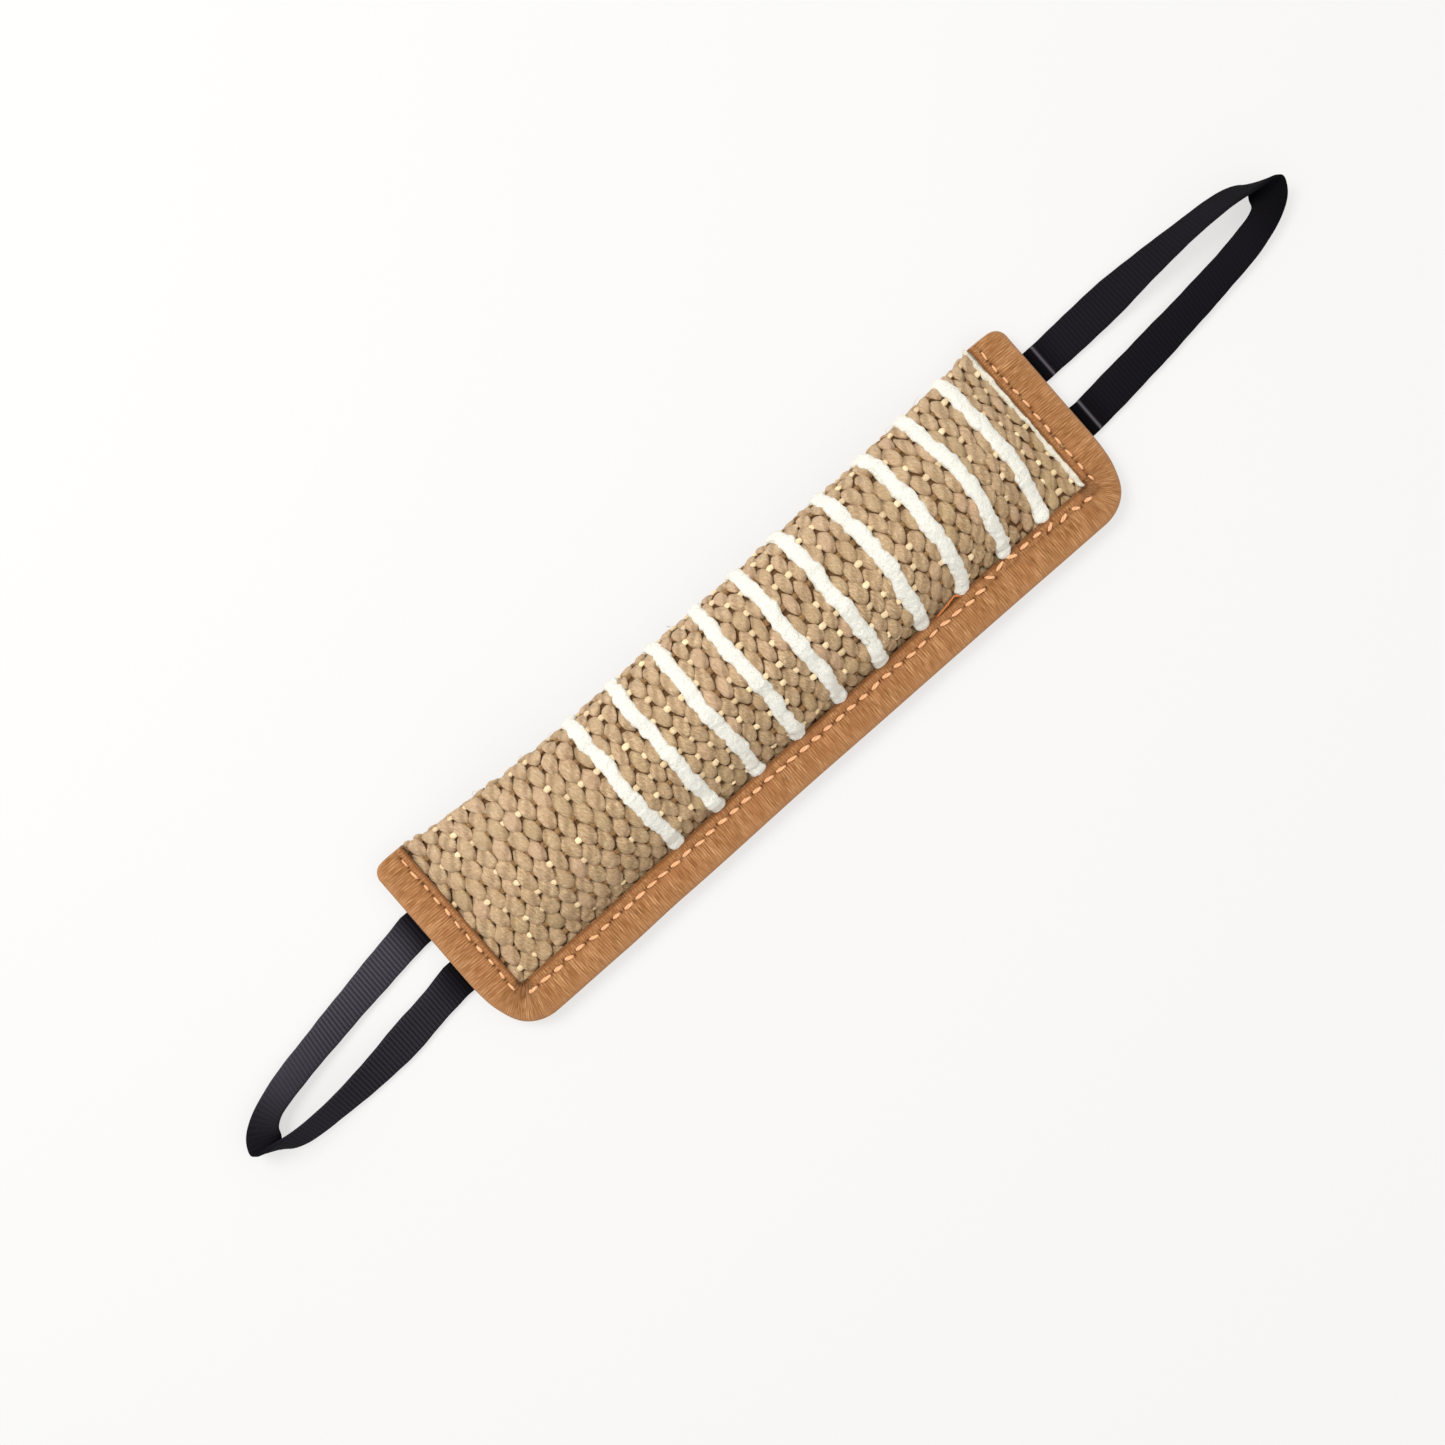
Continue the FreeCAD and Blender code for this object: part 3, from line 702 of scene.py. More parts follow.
def make_weft(cloth, look):
    """Crossing yarns, one per row, that rise between neighbouring floats."""
    source = np.random.default_rng(7)
    under_tape, step = 2.5, 0.7
    x = np.arange(-TAPE_START - under_tape, TAPE_START + under_tape, step)
    crossings = range(-16, 36)
    angle = ring_angles(8)
    points, bright = [], []
    for row, v in weave_rows(cloth)[1:]:
        number = np.where(x >= CORD_X[0], (x - CORD_X[0]) / (CORD_PITCH / 3),
                          (x - CORD_X[0]) / PLAIN_PITCH) - 0.5 * (row % 2)
        between = 0.5 - 0.5 * np.cos(2 * math.pi * number)
        crossing = np.floor(number).astype(int)
        paled = {n: float(source.random() < (0.55 if n >= 0 else 0.40)) * source.uniform(0.5, 1.0)
                 for n in crossings}
        paleness = np.array([paled[n] for n in crossing])
        pale = paleness * smoothstep(between, 0.15, 0.6)
        shift = {n: source.uniform(-0.35, 0.35) for n in crossings}
        drift = np.array([shift[n] for n in crossing]) * between
        height = -1.9 + (0.75 + 0.45 * paleness) * between ** 1.5
        wide = 0.95 + 0.35 * between ** 2
        ring_v = v + (drift[:, None] + wide[:, None] * np.cos(angle)) / cloth.length
        ring_height = height[:, None] + 0.8 * np.sin(angle)
        points.append(cloth.lift(np.broadcast_to(x[:, None], ring_v.shape), ring_v, ring_height))
        bright.append(np.broadcast_to(pale[:, None], ring_v.shape))
    faces = many_tubes(len(points), len(x), len(angle))
    make_object("weft_yarns", np.array(points), faces, look,
                values={"bright": np.array(bright)})


# --------------------------------------------------------------- inner layers

GROUND_GRID = (240, 130)  # points along and round the inner layer
GROUND_DEPTH = 1.7        # outer face of the cloth to the inner layer
FLANGE_INSET = 1.6        # outer edge of the tape to the edge of the flange
FLANGE_HALF = 0.8         # half the thickness of the flange
FELT_GRID = (120, 80)
FELT_DEPTH = 3.2          # outer face of the cloth to the felt inside it
FELT_FROM_TAPE = 16.0     # inner edge of the end tapes to the ends of the roll
FELT_FROM_SEAM = 0.15     # upper and lower seam to the felt, as a share of the cloth


def make_ground(cloth, look):
    """Closed inner layer of the cloth, with its flange inside the tape."""
    x = np.linspace(cloth.x[0], cloth.x[-1], GROUND_GRID[0])[:, None]
    v = np.linspace(0, 1, GROUND_GRID[1])[None, :]
    top = cloth.lift(x, v, np.full(GROUND_GRID, -GROUND_DEPTH))
    beyond = np.clip(np.abs(x[:, 0]) - CORNER_X, 0, None)
    edge_y = CORNER_Y - np.sqrt((CORNER_ROUND - FLANGE_INSET) ** 2 - beyond ** 2)
    level = (SEAM_LOW + SEAM_TOP) / 2
    flange = np.array([[(place, edge, level + side * FLANGE_HALF) for side in (-1, 1)]
                       for place, edge in zip(x[:, 0], edge_y)])
    points = np.concatenate([top, flange], axis=1)
    obj = make_object("cover_ground", points, tube_faces(*points.shape[:2]), look)
    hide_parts("woven_cover")


def make_roll(cloth, look):
    """Rolled felt inside the cloth, closed at both ends."""
    reach = TAPE_START - FELT_FROM_TAPE
    x = np.linspace(-reach, reach, FELT_GRID[0])[:, None]
    v = np.linspace(FELT_FROM_SEAM, 1 - FELT_FROM_SEAM, FELT_GRID[1])[None, :]
    points = cloth.lift(x, v, np.full(FELT_GRID, -FELT_DEPTH))
    obj = make_object("felt_roll", points, tube_faces(*FELT_GRID), look)
    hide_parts("padding_roll")


# ---------------------------------------------------------------------- cords

CORD_POINTS = 20
CORD_STEP = 0.55
CORD_END = 0.9            # how far a cord runs on past each seam of the cloth
CORD_SINK = 0.45          # depth of a cord's widest line below the cloth
LAST_CORD_SHADE = 0.35    # the last cord lies against the end tape: its painted shade reaches further round it, so it looks creamier


def make_cord(cloth, number, place, look):
    """White cord round the pad: lumpy where floats press on it, flared and rounded at its ends."""
    travel = np.arange(-CORD_END, cloth.length + CORD_END, CORD_STEP)[:, None]
    angle = ring_angles(CORD_POINTS)[None, :]
    row = (travel - FIRST_ROW) / YARN_ROW
    bump = 0.5 + 0.5 * np.cos(math.pi * row)
    from_end = np.minimum(travel - travel[0], travel[-1] - travel)
    tip = np.sqrt(np.clip(1 - (1 - np.clip(from_end / 2.2, 0, 1)) ** 2, 0.02, 1))
    flare = 1 + 0.16 * np.exp(-from_end / 4.0)
    half = CORD_HALF * (0.90 + 0.10 * bump) * flare
    half = half + slow_noise(travel, [(9.0, 0.14), (5.3, 0.12), (3.1, 0.09)], 100 + number)
    middle = place + slow_noise(travel, [(41.0, 0.35), (17.0, 0.25), (7.7, 0.12)], 200 + number)
    across = half * tip * np.cos(angle)
    rise = np.sign(np.sin(angle)) * np.abs(np.sin(angle)) ** 0.85
    proud = CORD_PROUD - 0.15 + 0.18 * bump
    height = -CORD_SINK + rise * np.where(rise > 0, proud + CORD_SINK, 2 * CORD_SINK) * tip
    over_tape = np.clip(1 - from_end / 3.0, 0, 1)
    height = height + 0.75 * over_tape
    x = middle + across
    points = cloth.lift(x, np.broadcast_to(travel / cloth.length, x.shape), height)
    bulge = 0.17 * lumps(points, 2.9, 300 + number) + 0.06 * lumps(points, 1.2, 400 + number)
    away = points - points.mean(axis=1, keepdims=True)
    away /= np.linalg.norm(away, axis=-1, keepdims=True) + 1e-9
    points = settle(points + away * (bulge * tip)[..., None])
    # Painted shade: the cord's lower flanks turn darker cream
    shade = smoothstep(np.broadcast_to(np.sin(angle), x.shape), -0.2, 0.5)
    if number == len(CORD_X):
        shade = shade * LAST_CORD_SHADE
    obj = make_object(f"cotton_cord_{number:02d}", points, tube_faces(*x.shape), look,
                      values={"shade": shade})
    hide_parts(CORDS[number - 1])


# ---------------------------------------------------------------- edge tape

TAPE_RIB = 1.0
TAPE_STEP = 0.25
CORNER_ARC = CORNER_ROUND * math.pi / 2
END_RUN = FOLD_REACH_END + BOUND_REACH - CORNER_ROUND
TAPE_HALF_RUN = CORNER_X + CORNER_ARC + END_RUN
END_ROUND = 5.0           # outer corner at each end of the tape
CORNER_EASE = 1.2         # how far the tape draws in on the end side of each corner
LIP_REACH = 4.2           # outer edge to where the tape has its full thickness
LIP_ROUND = 0.25          # fall of the upper face at the inner edge
PILLOW = 0.32             # swell between the outer edge and the seam
INNER_SWELL = 0.22        # swell between the seam and the inner edge
SEAM_DIP = 0.45           # how deep the seam draws the tape in
HOLE_RADIUS = 0.55
HOLE_DEPTH = 0.55


def tape_frame(travel):
    """For places along the tape's outer edge, measured from the middle of the long side:
    the place, the way in, and the distances in to the stitches and to the inner edge."""
    side, run = np.sign(travel), np.abs(travel)
    turn = np.clip((run - CORNER_X) / CORNER_ROUND, 0, math.pi / 2)
    out = np.stack([np.sin(turn), -np.cos(turn)], axis=-1)
    centre_y = np.where(run > CORNER_X + CORNER_ARC, run - CORNER_X - CORNER_ARC, 0.0)
    centre = np.stack([np.minimum(run, CORNER_X), centre_y - BOUND_REACH + CORNER_ROUND], axis=-1)

    def depth(inset_long, inset_end):
        """Distance in to a line that keeps its inset on both sides of the corner."""
        to_long = (CORNER_ROUND - inset_long) / np.maximum(np.cos(turn), 1e-6)
        to_end = (CORNER_ROUND - inset_end) / np.maximum(np.sin(turn), 1e-6)
        return CORNER_ROUND - np.minimum(to_long, to_end)

    place = centre + CORNER_ROUND * out
    mirror = np.stack([np.where(side < 0, -1.0, 1.0), np.ones_like(run)], axis=-1)
    return (place * mirror, -out * mirror, depth(STITCH_INSET, STITCH_INSET),
            depth(SEAM_WIDTH_LONG, SEAM_WIDTH_END))


def tape_points(travel, across, level):
    """Point of the tape: across runs 0 at the outer edge, 1 at the stitches, 2 at the inner edge."""
    place, inward, to_stitch, to_inner = tape_frame(travel)
    share = np.clip(across, 0, 1)
    past_corner = np.clip(END_ROUND - TAPE_HALF_RUN + np.abs(travel), 0, END_ROUND)
    corner = END_ROUND - np.sqrt(END_ROUND ** 2 - past_corner ** 2)
    depth = share * to_stitch + np.clip(across - 1, 0, 1) * (to_inner - to_stitch)
    eased = CORNER_EASE * bell(np.abs(travel) - CORNER_X - 0.8 * CORNER_ARC, 8.0)
    depth = depth + (corner + eased) * (1 - share)
    spot = place + inward * depth[..., None]
    return np.concatenate([spot, level[..., None]], axis=-1)


def tape_surface(travel, across, upper, inset=0.0, ribs=1.0):
    """Points of the tape's outer face, or of its inner face when inset is the thickness."""
    middle = (TAPE_LOW[2] + TAPE_HIGH[2]) / 2
    half = (TAPE_HIGH[2] - TAPE_LOW[2]) / 2 - inset
    lip = LIP_REACH / STITCH_INSET
    bulb = np.sqrt(1 - (1 - np.clip(across / lip, 0, 1)) ** 2)
    at_end = np.abs(travel) > CORNER_X + CORNER_ARC / 2
    pillow = PILLOW * np.sin(math.pi * np.clip((across - 0.2) / 0.8, 0, 1)) ** 2
    inner = INNER_SWELL * np.sin(math.pi * np.clip(across - 1, 0, 1)) ** 2
    stitched = bell((across - 1) * STITCH_INSET, 0.9)
    holding = 0.75 + 0.25 * np.cos(2 * math.pi * travel / STITCH_PITCH)
    swell = slow_noise(travel, [(37.0, 0.18), (19.0, 0.14), (11.0, 0.08)], 11) * np.clip(across, 0, 1)
    near_corner = bell(np.abs(travel) - CORNER_X - CORNER_ARC / 2, 11.0)
    pucker = 0.35 * near_corner * np.sin(travel * 1.55) * smoothstep(across, 0.7, 1.3)
    rib = np.cos(2 * math.pi * travel / TAPE_RIB)
    relief = np.where(at_end, 0.15, 0.10) * rib * ribs * (1 - 0.6 * stitched)
    extra = pillow + inner - SEAM_DIP * stitched * holding + swell + pucker + relief
    left_over = TAPE_HALF_RUN - np.abs(travel)
    soft_end = np.sqrt(np.clip(1 - 0.75 * (1 - np.clip(left_over / 1.6, 0, 1)) ** 2, 0, 1))
    under = 0.35 * np.clip(extra, None, 0.0)
    level = np.where(upper, middle + (half * bulb + extra * bulb) * soft_end,
                     middle - (half * bulb + under * bulb) * soft_end)
    return level, rib, stitched


def make_tape(look, holes):
    """Doubled tape: an outer face over the edge, an inner face and a lip along each inner edge."""
    travel = np.arange(-TAPE_HALF_RUN, TAPE_HALF_RUN + 1e-6, TAPE_STEP)
    top = [2.0, 1.97, 1.88, 1.76, 1.64, 1.52, 1.35, 1.2, 1.12, 1.06, 1.0, 0.94, 0.88, 0.8, 0.68, 0.55,
           0.42, 0.32, 0.22, 0.13, 0.06, 0.015]
    across = np.array(top + top[::-1])
    upper = np.arange(len(across)) < len(top)
    inner_across = np.array([2.0, 1.5, 1.0, 0.5, 0.1, 0.1, 0.5, 1.0, 1.5, 2.0])
    inner_upper = np.arange(10) < 5
    shift = TAPE_THICKNESS * travel / TAPE_HALF_RUN

    def layer(places, across_line, upper_line, inset, ribs):
        s, a = np.meshgrid(places, across_line, indexing="ij")
        level, rib, stitched = tape_surface(s, a, upper_line[None, :], inset, ribs)
        return wander(tape_points(s, a, level)), s, a, rib, stitched

    outside, s, a, rib, stitched = layer(travel, across, upper, 0.0, 1.0)
    lip_round = LIP_ROUND * (a > 1.99)
    outside[..., 2] -= np.where(upper[None, :], lip_round, -lip_round)
    inside, s2, a2, _, _ = layer(travel - shift, inner_across, inner_upper, TAPE_THICKNESS, 0.0)
    near = np.full(s.shape, 9.0)
    for hole_x, hole_y, hole_travel in holes:
        close = np.abs(travel - hole_travel) < 2.5
        gap = np.hypot(outside[close, :, 0] - hole_x, outside[close, :, 1] - hole_y)
        near[close] = np.minimum(near[close], gap)
    hole = bell(near, HOLE_RADIUS) * upper[None, :]
    outside[..., 2] -= HOLE_DEPTH * hole

    def both(outer_value, inner_value=0.0):
        """Values for rings that run back round the outer face, then round the inner face."""
        return np.concatenate([np.broadcast_to(outer_value, s.shape)[:, ::-1],
                               np.broadcast_to(inner_value, s2.shape)], axis=1)

    points = np.concatenate([outside[:, ::-1], inside], axis=1)
    rows, size, wide = len(travel), points.shape[1], len(across)
    faces = tube_faces(rows, size, capped=False)
    for start, way in ((0, 1), ((rows - 1) * size, -1)):
        ring = list(range(start, start + size))
        outer, inner = ring[:wide], ring[wide:]
        slit = [outer[-1], outer[0], inner[-1], inner[0]]
        faces += [tuple(part[::way]) for part in (outer, inner, slit)]
    # Painted shade: dark in the needle holes, along the sunk seam and in the crease at the inner edge
    crease = smoothstep(a, 1.62, 1.80)
    dark = np.clip(0.9 * hole + 0.2 * stitched + 0.55 * crease, 0, 1)
    values = {"travel": both(s, s2), "across": both(a * STITCH_INSET, a2 * STITCH_INSET), "rib": both(rib),
              "edge": both(0.6 * bell(a, 0.25)), "inner": both(0.25 * smoothstep(a, 0.95, 1.3)),
              "dark": both(dark)}
    obj = make_object("binding_tape", points, faces, look, values=values)
    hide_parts("edge_binding")


# -------------------------------------------------------------------- thread

STRAY = 2.2               # how far the seam strays from its line near the right corner
STITCH_RINGS = 17
STITCH_POINTS = 12


def seam_places():
    """(x, y, angle, travel, aside) of each stitch along the three bound sides. Aside is
    how far the stitch strays from the seam line towards the cloth."""
    row_x, row_y = HALF_LENGTH - STITCH_INSET, -BOUND_REACH + STITCH_INSET

    def run(first, last):
        return np.linspace(first, last, round(abs(last - first) / STITCH_PITCH) + 1)

    places = []
    for x in run(-row_x + STITCH_PITCH, row_x - STITCH_PITCH):
        aside = STRAY * float(smoothstep(x, 78, 92) * (1 - smoothstep(x, 112, 126)))
        places.append((x, row_y + aside, 0.0, x, aside))
    for side in (-1, 1):
        for y in run(row_y + STITCH_PITCH, FOLD_REACH_END - STITCH_PITCH):
            travel = CORNER_X + CORNER_ARC + y + BOUND_REACH - CORNER_ROUND
            places.append((side * row_x, y, math.pi / 2, side * travel, 0.0))
    return np.array(places)


def make_stitches(name, node, places, level, up, look, sizes):
    """Twisted capsules of thread that arch out of the tape; up is 1 above and -1 below it."""
    count = len(places)
    length, width, height = (np.broadcast_to(size, count)[:, None, None] for size in sizes)
    t = np.sin(np.linspace(-1, 1, STITCH_RINGS) * math.pi / 2 * 0.97)[None, :, None]
    angle = ring_angles(STITCH_POINTS)[None, None, :]
    ply = np.cos(3 * angle + 5.0 * t)
    radius = (1 - t ** 2) ** 0.42 * (1 + 0.09 * ply) / 2
    turn = places[:, 2][:, None, None]
    along, across = t * length / 2, radius * width * np.cos(angle)
    x = places[:, 0][:, None, None] + along * np.cos(turn) - across * np.sin(turn)
    y = places[:, 1][:, None, None] + along * np.sin(turn) + across * np.cos(turn)
    rise = 0.10 + 0.30 * (1 - t ** 2) - 0.45 * t ** 6
    z = level[:, None, None] + up * (rise + radius * height * np.sin(angle))
    points = np.stack(np.broadcast_arrays(x, y, z), axis=-1)
    obj = make_object(name, wander(points), many_tubes(count, STITCH_RINGS, STITCH_POINTS), look,
                      values={"ply": np.broadcast_to(ply, points.shape[:3])})
    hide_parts(node)


def tape_level(places, upper):
    """Level of the tape's outer face at the stitches."""
    travel = places[:, 3][:, None]
    across = 1 + places[:, 4][:, None] / (SEAM_WIDTH_LONG - STITCH_INSET)
    level, _, _ = tape_surface(travel, across, np.array([[upper]]), ribs=0.0)
    return level[:, 0]


def sew_seam(look):
    """Needle thread above and bobbin thread below. Returns the needle holes as (x, y, travel)."""
    source = np.random.default_rng(23)
    places = seam_places()
    count = len(places)
    on_end = places[:, 2] > 1
    messy = smoothstep(places[:, 0], 78, 92) * (1 - smoothstep(places[:, 1], -22, -8))
    needle = places.copy()
    needle[:, 2] += np.where(on_end, 0.0, -0.12) + source.normal(0, 0.09, count) * (1 + 3 * messy)
    needle[:, 0] += source.normal(0, 0.15, count)
    needle[:, 1] += source.normal(0, 0.15, count) * (1 + 2 * messy)
    length = np.where(on_end, 3.5, 4.2) + source.normal(0, 0.35, count) - 0.5 * messy
    width = np.where(on_end, 0.95, 1.35) + source.normal(0, 0.10, count)
    sizes = (length, width, np.where(on_end, 0.65, 0.9))
    make_stitches("needle_stitches", "needle_thread", needle, tape_level(needle, True), 1, look, sizes)
    below = places.copy()
    below[:, 2] += source.normal(0, 0.04, count)
    under_strap = np.array([is_under_strap(x, y) for x, y in below[:, :2]])
    level = np.where(under_strap, STRAP_LOW - 0.02, tape_level(below, False))
    sizes = (3.9, 1.1, np.where(under_strap, 0.45, 0.7))
    make_stitches("bobbin_stitches", "bobbin_thread", below, level, -1, look, sizes)
    holes = []
    for (x, y, angle, travel, _), size in zip(needle, length):
        for end in (-1, 1):
            reach = end * (size / 2 + 0.35)
            spot = wander(np.array([x + reach * math.cos(angle), y + reach * math.sin(angle), 0.0]))
            holes.append((spot[0], spot[1], travel))
    return holes


# ------------------------------------------------------------------- handles

# The two edges of the webbing round a loop, from the limb whose upper face carries on
# round the tip to the limb that has turned over. A row gives the way out from the crease
# as a share of the reach, the way across as a share of half the spread, and the rise in
# millimetres, for the edge that starts on the outside and then for the one inside.
LOOP_EDGES = [
    ((0.305, -1.38, 0.2), (0.305, -0.36, 0.6)),
    ((0.602, -1.16, 0.9), (0.611, -0.23, 2.3)),
    ((0.815, -0.93, 2.1), (0.806, -0.05, 3.9)),
    ((0.954, -0.51, 3.7), (0.861, 0.12, 4.7)),
    ((1.000, -0.04, 5.7), (0.875, 0.31, 3.7)),
    ((0.979, 0.25, 9.4), (0.898, 0.58, 1.3)),
    ((0.880, 0.37, 11.7), (0.876, 0.88, 0.4)),
    ((0.778, 0.51, 11.2), (0.792, 1.11, 0.0)),
    ((0.600, 0.57, 9.4), (0.620, 1.28, 0.0)),
    ((0.430, 0.52, 5.2), (0.440, 1.44, 0.0)),
    ((0.270, 0.45, 1.4), (0.270, 1.53, 0.0)),
    ((0.120, 0.46, 0.1), (0.120, 1.52, 0.0)),
]
SLANT = {"left": math.radians(5.4), "right": math.radians(2.3)}
TURNED_BOW = {"left": 0.15, "right": 0.0}   # outward bow of the turned limb, in half spreads
WEBBING_RIB = 1.55
WEBBING_STEP = 0.2


class Handle:
    """Sizes of one handle, from its sewn tails, its loop and its joint."""

    def __init__(self, side):
        self.side = side
        self.sign = 1 if side == "right" else -1
        swing = next(item for item in frame["joints"] if item["name"] == f"{side}_handle_swing")
        self.hinge = np.array(swing["pos_m"]) / MM
        carrying, turning = (node_box(f"{side}_{name}_tail") for name in ("carrying", "turning"))
        self.width = carrying[1][1] - carrying[0][1]
        self.half_thick = (carrying[1][2] - carrying[0][2]) / 2
        self.limbs = [(low[1] + high[1]) / 2 for low, high in (carrying, turning)]
        self.spread = abs(self.limbs[0] - self.limbs[1])
        self.tail = abs(self.hinge[0]) - min(abs(carrying[0][0]), abs(carrying[1][0]))
        low, high = node_box(f"{side}_handle_loop")
        self.reach = max(abs(low[0]), abs(high[0])) - abs(self.hinge[0]) - 0.3


HANDLES = [Handle("left"), Handle("right")]
STRAP_LOW = node_box("left_carrying_tail")[0][2]


def is_under_strap(x, y):
    """True where webbing covers the underside of the end seam."""
    return any(x * handle.sign > TAPE_START and abs(y - limb) < handle.width / 2
               for handle in HANDLES for limb in handle.limbs)


def spline(points):
    """Smooth curve through points at the parameters 0, 1, 2 and so on."""
    points = np.array(points, float)
    count = len(points)
    system = np.eye(count)
    target = np.zeros_like(points)
    for i in range(1, count - 1):
        system[i, i - 1:i + 2] = (1, 4, 1)
        target[i] = 6 * (points[i - 1] - 2 * points[i] + points[i + 1])
    bend = np.linalg.solve(system, target)

    def at(u):
        i = np.clip(np.floor(u).astype(int), 0, count - 2)
        t = (u - i)[:, None]
        s = 1 - t
        return (s * points[i] + t * points[i + 1]
                + ((s ** 3 - s) * bend[i] + (t ** 3 - t) * bend[i + 1]) / 6)
    return at


def webbing_edges(handle):
    """Points of the webbing's two edges, evenly spaced from tail to tail, and the
    distance of each from the nearer crease (negative in the tails)."""
    half, width, lean = handle.spread / 2, handle.width / 2, math.tan(SLANT[handle.side])

    def place(out, across, rise):
        bow = 4 * TURNED_BOW[handle.side] * out * (1 - out) if across > 0 else 0
        return out * handle.reach, (across + bow) * half, rise

    rows = [((0, -half - width, 0), (0, -half + width, 0))]
    rows += [tuple(place(*corner) for corner in pair) for pair in LOOP_EDGES]
    rows += [((0, half - width, 0), (0, half + width, 0))]
    curves = [spline([row[edge] for row in rows]) for edge in range(2)]
    fine = np.linspace(0, len(rows) - 1, 3000)
    centre = (curves[0](fine) + curves[1](fine)) / 2
    way = arc_lengths(centre)
    steps = np.arange(-handle.tail, way[-1] + handle.tail, WEBBING_STEP)
    place = np.interp(steps, way, fine)
    past = np.where(steps < 0, steps, np.where(steps > way[-1], way[-1] - steps, 0))
    edges = []
    for curve in curves:
        points = curve(place)
        points[:, 1] += points[:, 0] * lean
        points[:, 0] += past
        points[:, :2] *= handle.sign
        edges.append(points + handle.hinge)
    return edges, steps, np.minimum(steps, way[-1] - steps)


def make_webbing(handle, look):
    """Ribbed webbing from one sewn tail round the loop to the other, folded at both creases."""
    (first, second), steps, from_crease = webbing_edges(handle)
    share = np.array([0.0, 0.03, 0.08, 0.16, 0.26, 0.38, 0.5, 0.62, 0.74, 0.84, 0.92, 0.97, 1.0])
    around = np.concatenate([share, share[::-1]])
    upper = np.arange(len(around)) < len(share)
    centre = (first + second) / 2
    across = unit(second - first)
    face = unit(np.cross(across, np.gradient(centre, axis=0)))
    to_root = 1 - smoothstep(from_crease / handle.reach, 0.45, 0.8)
    ribbed = (1.0 if handle.side == "left" else 0.45) * (0.35 + 0.65 * to_root)
    rib = np.cos(2 * math.pi * steps / WEBBING_RIB) * ribbed
    body = smoothstep(np.minimum(around, 1 - around), 0.0, 0.09)
    edge_round = 0.45 + 0.55 * np.sqrt(np.clip(body, 0, 1))
    selvedge = 0.10 * bell(np.minimum(around, 1 - around) - 0.07, 0.03)
    ridge = 0.30 * bell(from_crease, 0.7)
    side = np.where(upper, 1.0, -1.0)
    thick = handle.half_thick * edge_round[None, :] - 0.10
    thick = thick + 0.10 * rib[:, None] * body[None, :] + selvedge[None, :] + ridge[:, None]
    frayed = slow_noise(steps, [(23.0, 0.12), (9.0, 0.07)], 61 + handle.sign)
    points = first[:, None, :] + (second - first)[:, None, :] * around[None, :, None]
    points = points + face[:, None, :] * (side[None, :] * thick)[..., None]
    points = points + across[:, None, :] * (frayed[:, None] * (around[None, :] - 0.5))[..., None]
    in_tail = (from_crease < 0)[:, None] & upper[None, :]
    points[..., 2] = np.where(in_tail, np.minimum(points[..., 2], TAPE_LOW[2] - 0.03), points[..., 2])
    points[..., 2] = np.maximum(points[..., 2], REST_GAP)
    out = np.clip((np.abs(points[..., 0]) - abs(handle.hinge[0])) / handle.reach, 0, 1)
    side_share = np.clip((points[..., 1] - handle.hinge[1]) / handle.spread + 0.5, 0, 1)
    # Painted sheen: greyer from one limb to the other, most on the left loop; less towards the tip, where
    # it turns to painted shade, and fading out near the creases and in the tails
    painted_sheen_low, painted_sheen_high = (0.33, 0.85) if handle.side == "left" else (0.09, 0.15)
    painted_sheen = (painted_sheen_low + (painted_sheen_high - painted_sheen_low) * side_share) * (1 - 0.75 * smoothstep(out, 0.72, 0.98))
    painted_sheen = painted_sheen * smoothstep(from_crease, -6.0, 12.0)[:, None]
    # Painted highlight: a light line just past the right loop's crease
    line = (0.6 if handle.side == "right" else 0.0) * bell(from_crease - 1.1, 0.5)
    shape = points.shape[:2]
    values = {"travel": np.broadcast_to(steps[:, None], shape),
              "across": np.broadcast_to(around[None, :] * handle.width, shape),
              "rib": np.broadcast_to(rib[:, None] * body[None, :], shape),
              "painted_sheen": painted_sheen, "crease": np.broadcast_to(line[:, None], shape)}
    obj = make_object(f"{handle.side}_webbing", points, tube_faces(*shape), look, None, values)
    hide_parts(f"{handle.side}_handle_loop", f"{handle.side}_carrying_tail",
                f"{handle.side}_turning_tail")
    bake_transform(obj)


# -------------------------------------------------------------- loose fibres

def make_hairs(cloth, look, count=110):
    """Fine jute hairs that lie loosely on the cloth."""
    each = draws(np.random.default_rng(77), count)
    rings, sides = 8, 3
    t = np.linspace(0, 1, rings)[None, :, None]
    angle = ring_angles(sides)[None, None, :]
    length, heading, curl = each(3.5, 8.5), each(0, 2 * math.pi), each(-1.4, 1.4)
    thin = 0.07 * (1.05 - t)
    path = heading + curl * t
    x = each(-TAPE_START + 6, TAPE_START - 6) + length * t * np.cos(path) + thin * np.cos(angle)
    way = each(5, cloth.length * 0.55) + length * t * np.sin(path)
    height = each(0.1, 0.3) + each(0.4, 1.9) * np.sin(math.pi * t ** 0.8) + thin * np.sin(angle)
    shape = (count, rings, sides)
    points = cloth.lift(x, way / cloth.length, np.broadcast_to(height, shape))
    values = {"along": np.broadcast_to(t * rings, shape), "across": np.zeros(shape),
              "tint": np.broadcast_to(each(0.2, 0.6), shape), "shade": np.ones(shape)}
    make_object("loose_jute_hairs", points, many_tubes(*shape), look, values=values)


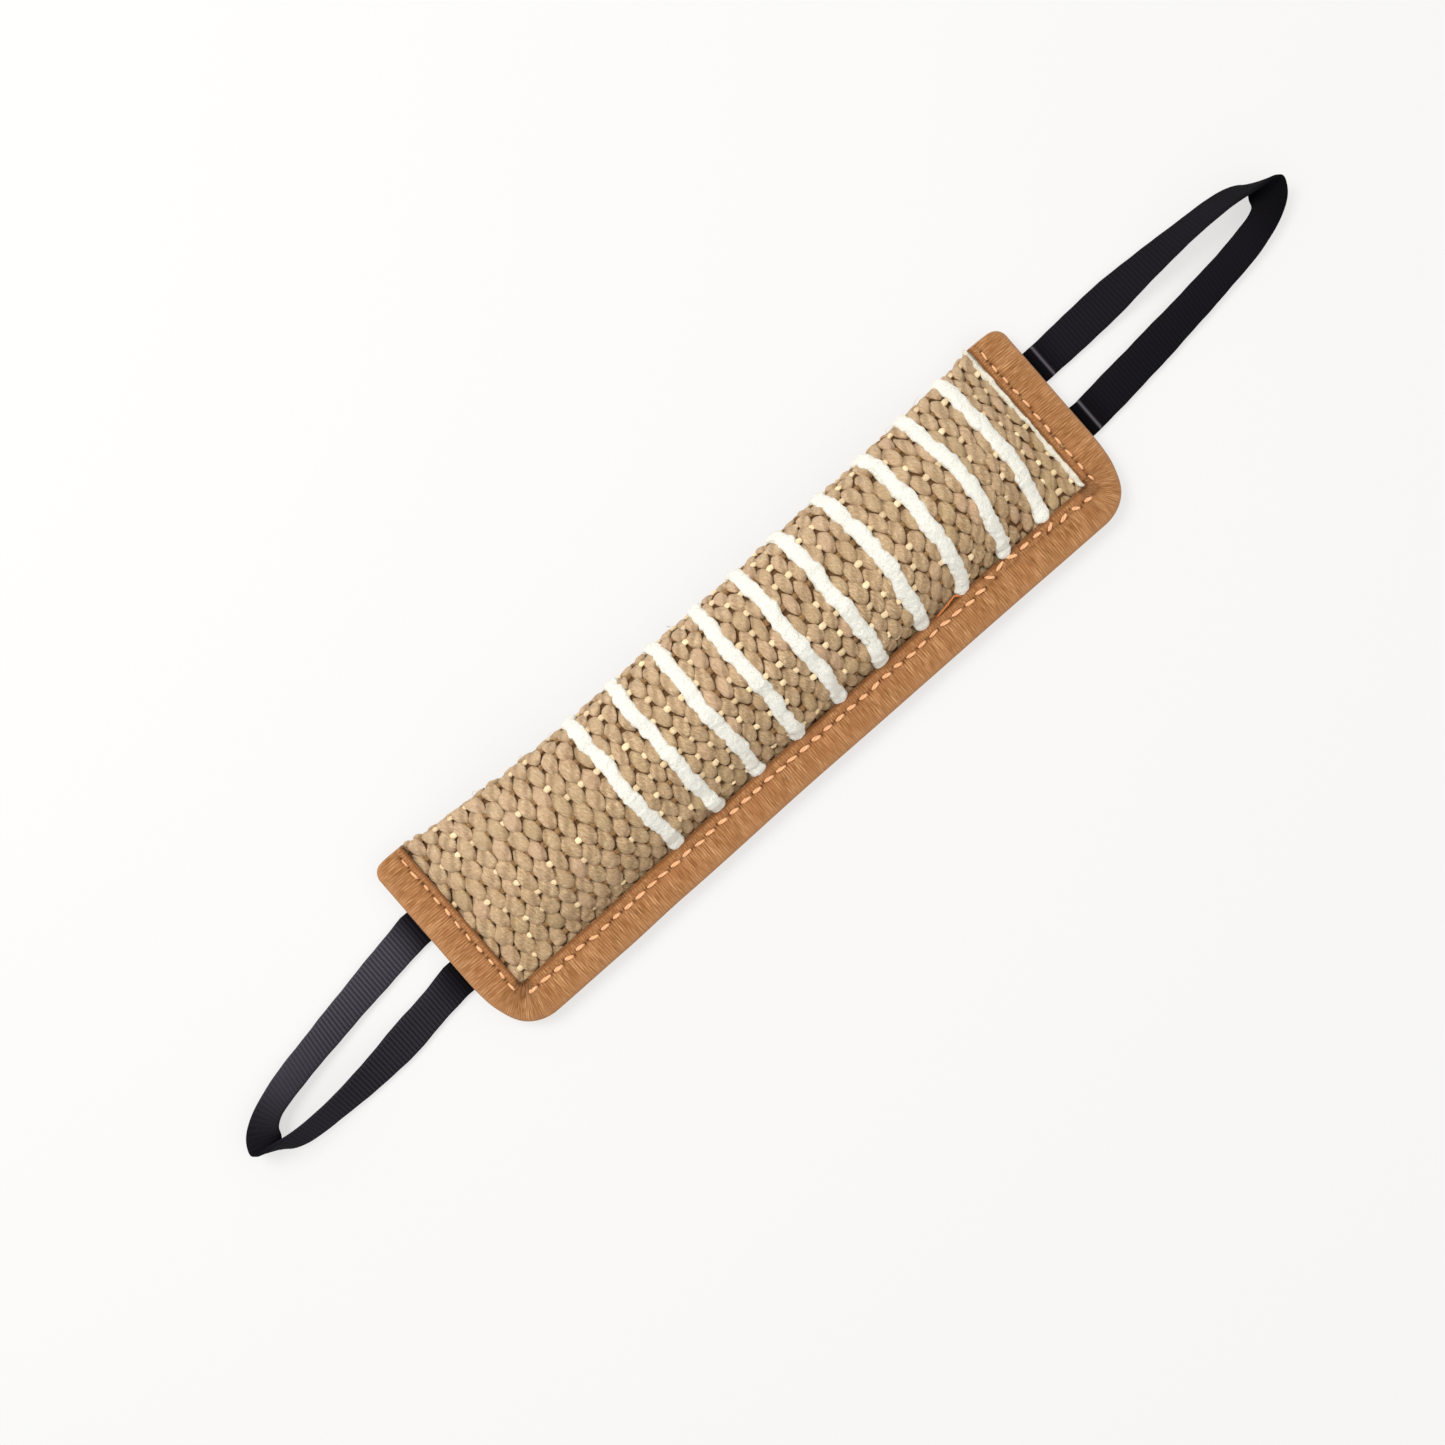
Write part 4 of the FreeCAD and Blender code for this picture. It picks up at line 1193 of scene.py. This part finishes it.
def make_stray_thread(cloth, look):
    """A short loose end of thread that lies in the crease above the long tape."""
    plan = [(64.0, 0.3), (67.0, 1.2), (70.0, 2.2), (72.3, 3.6), (73.5, 3.0), (75.0, 0.8), (76.0, -0.5)]
    curve = spline([(x, way, 0.0) for x, way in plan])
    rings, step = 90, 0.22
    centre = curve(np.linspace(0, len(plan) - 1, rings))
    angle = ring_angles(10)[None, :]
    ahead = unit(np.gradient(centre, axis=0))
    travel = np.arange(rings)[:, None] * step
    ply = np.cos(3 * angle + travel * 2.4)
    tapered = np.sqrt(np.clip(1 - np.linspace(-1, 1, rings)[:, None] ** 8, 0.05, 1))
    radius = 0.42 * (1 + 0.12 * ply) * tapered
    x = centre[:, :1] - ahead[:, 1:2] * radius * np.cos(angle)
    way = centre[:, 1:2] + ahead[:, :1] * radius * np.cos(angle)
    points = cloth.lift(x, way / cloth.length, 1.1 + radius * np.sin(angle))
    make_object("stray_thread", points, tube_faces(*points.shape[:2]), look,
                values={"ply": ply})


# --------------------------------------------------------------------- stage

def make_stage():
    """Pale floor, even pale surroundings and soft lamps."""
    floor_level, size = -0.3, 1500
    corners = [(x * size, y * size, floor_level) for x, y in ((-1, -1), (1, -1), (1, 1), (-1, 1))]
    mesh = new_mesh("floor", corners, [(0, 1, 2, 3)])
    look = Look("pale_floor")
    for name, value in (("Base Color", (0.22, 0.22, 0.22, 1.0)), ("Emission Color", srgb(252, 251, 249)),
                        ("Emission Strength", 0.668)):
        look.shader.inputs[name].default_value = value
    mesh.materials.append(look.material)
    place_object("floor", mesh)
    world = bpy.data.worlds.new("pale_surroundings")
    world.use_nodes = True
    background = world.node_tree.nodes["Background"]
    background.inputs["Color"].default_value = srgb(252, 251, 250)
    background.inputs["Strength"].default_value = 0.75
    bpy.context.scene.world = world
    for name, spot, power, wide in (("key", (-0.30, 0.65, 1.00), 11.0, 0.60),
                                    ("fill", (0.6, -0.6, 0.9), 3.0, 1.2)):
        lamp = bpy.data.lights.new(name, "AREA")
        lamp.energy, lamp.size = power, wide
        obj = place_object(name, lamp)
        obj.location = spot
        obj.rotation_euler = (-Vector(spot)).to_track_quat("-Z", "Y").to_euler()


def make_camera():
    """Straight down, turned so that the pad runs from lower left to upper right."""
    distance, seen_width, subject_level = 605.0, 521.0, 6.5
    centre_x, centre_y, turn = -18.99, -2.18, math.radians(-41)
    camera = bpy.data.cameras.new("camera")
    camera.lens = camera.sensor_width * distance / seen_width
    camera.clip_start, camera.clip_end = 0.01, 20
    obj = place_object("camera", camera)
    obj.location = (centre_x * MM, centre_y * MM, (distance + subject_level) * MM)
    obj.rotation_euler = (0, 0, turn)
    bpy.context.scene.camera = obj


def main():
    cloth = Cloth()
    jute, weft, ground, cotton = jute_look(), weft_look(), ground_look(), cord_look()
    thread = thread_look("peach_thread", (255, 208, 160), (214, 146, 98))
    places = float_places(cloth)
    places = places[np.argsort(places[:, 1], kind="stable")]
    bands = np.array_split(places, math.ceil(len(places) / FLOATS_IN_A_PIECE))
    make_ground(cloth, ground)
    make_weft(cloth, weft)
    for number, band in enumerate(bands, start=1):
        make_floats(cloth, band, f"jute_floats_{number}", jute, number)
    for number, place in enumerate(CORD_X, start=1):
        make_cord(cloth, number, place, cotton)
    holes = sew_seam(thread)
    make_tape(tape_look(), holes)
    webbing = webbing_look()
    for handle in HANDLES:
        make_webbing(handle, webbing)
    make_hairs(cloth, jute)
    make_stray_thread(cloth, thread_look("rust_thread", (226, 140, 72), (170, 92, 40)))
    make_roll(cloth, felt_look())
    make_stage()
    make_camera()
    bpy.context.scene.view_settings.view_transform = "Standard"


main()
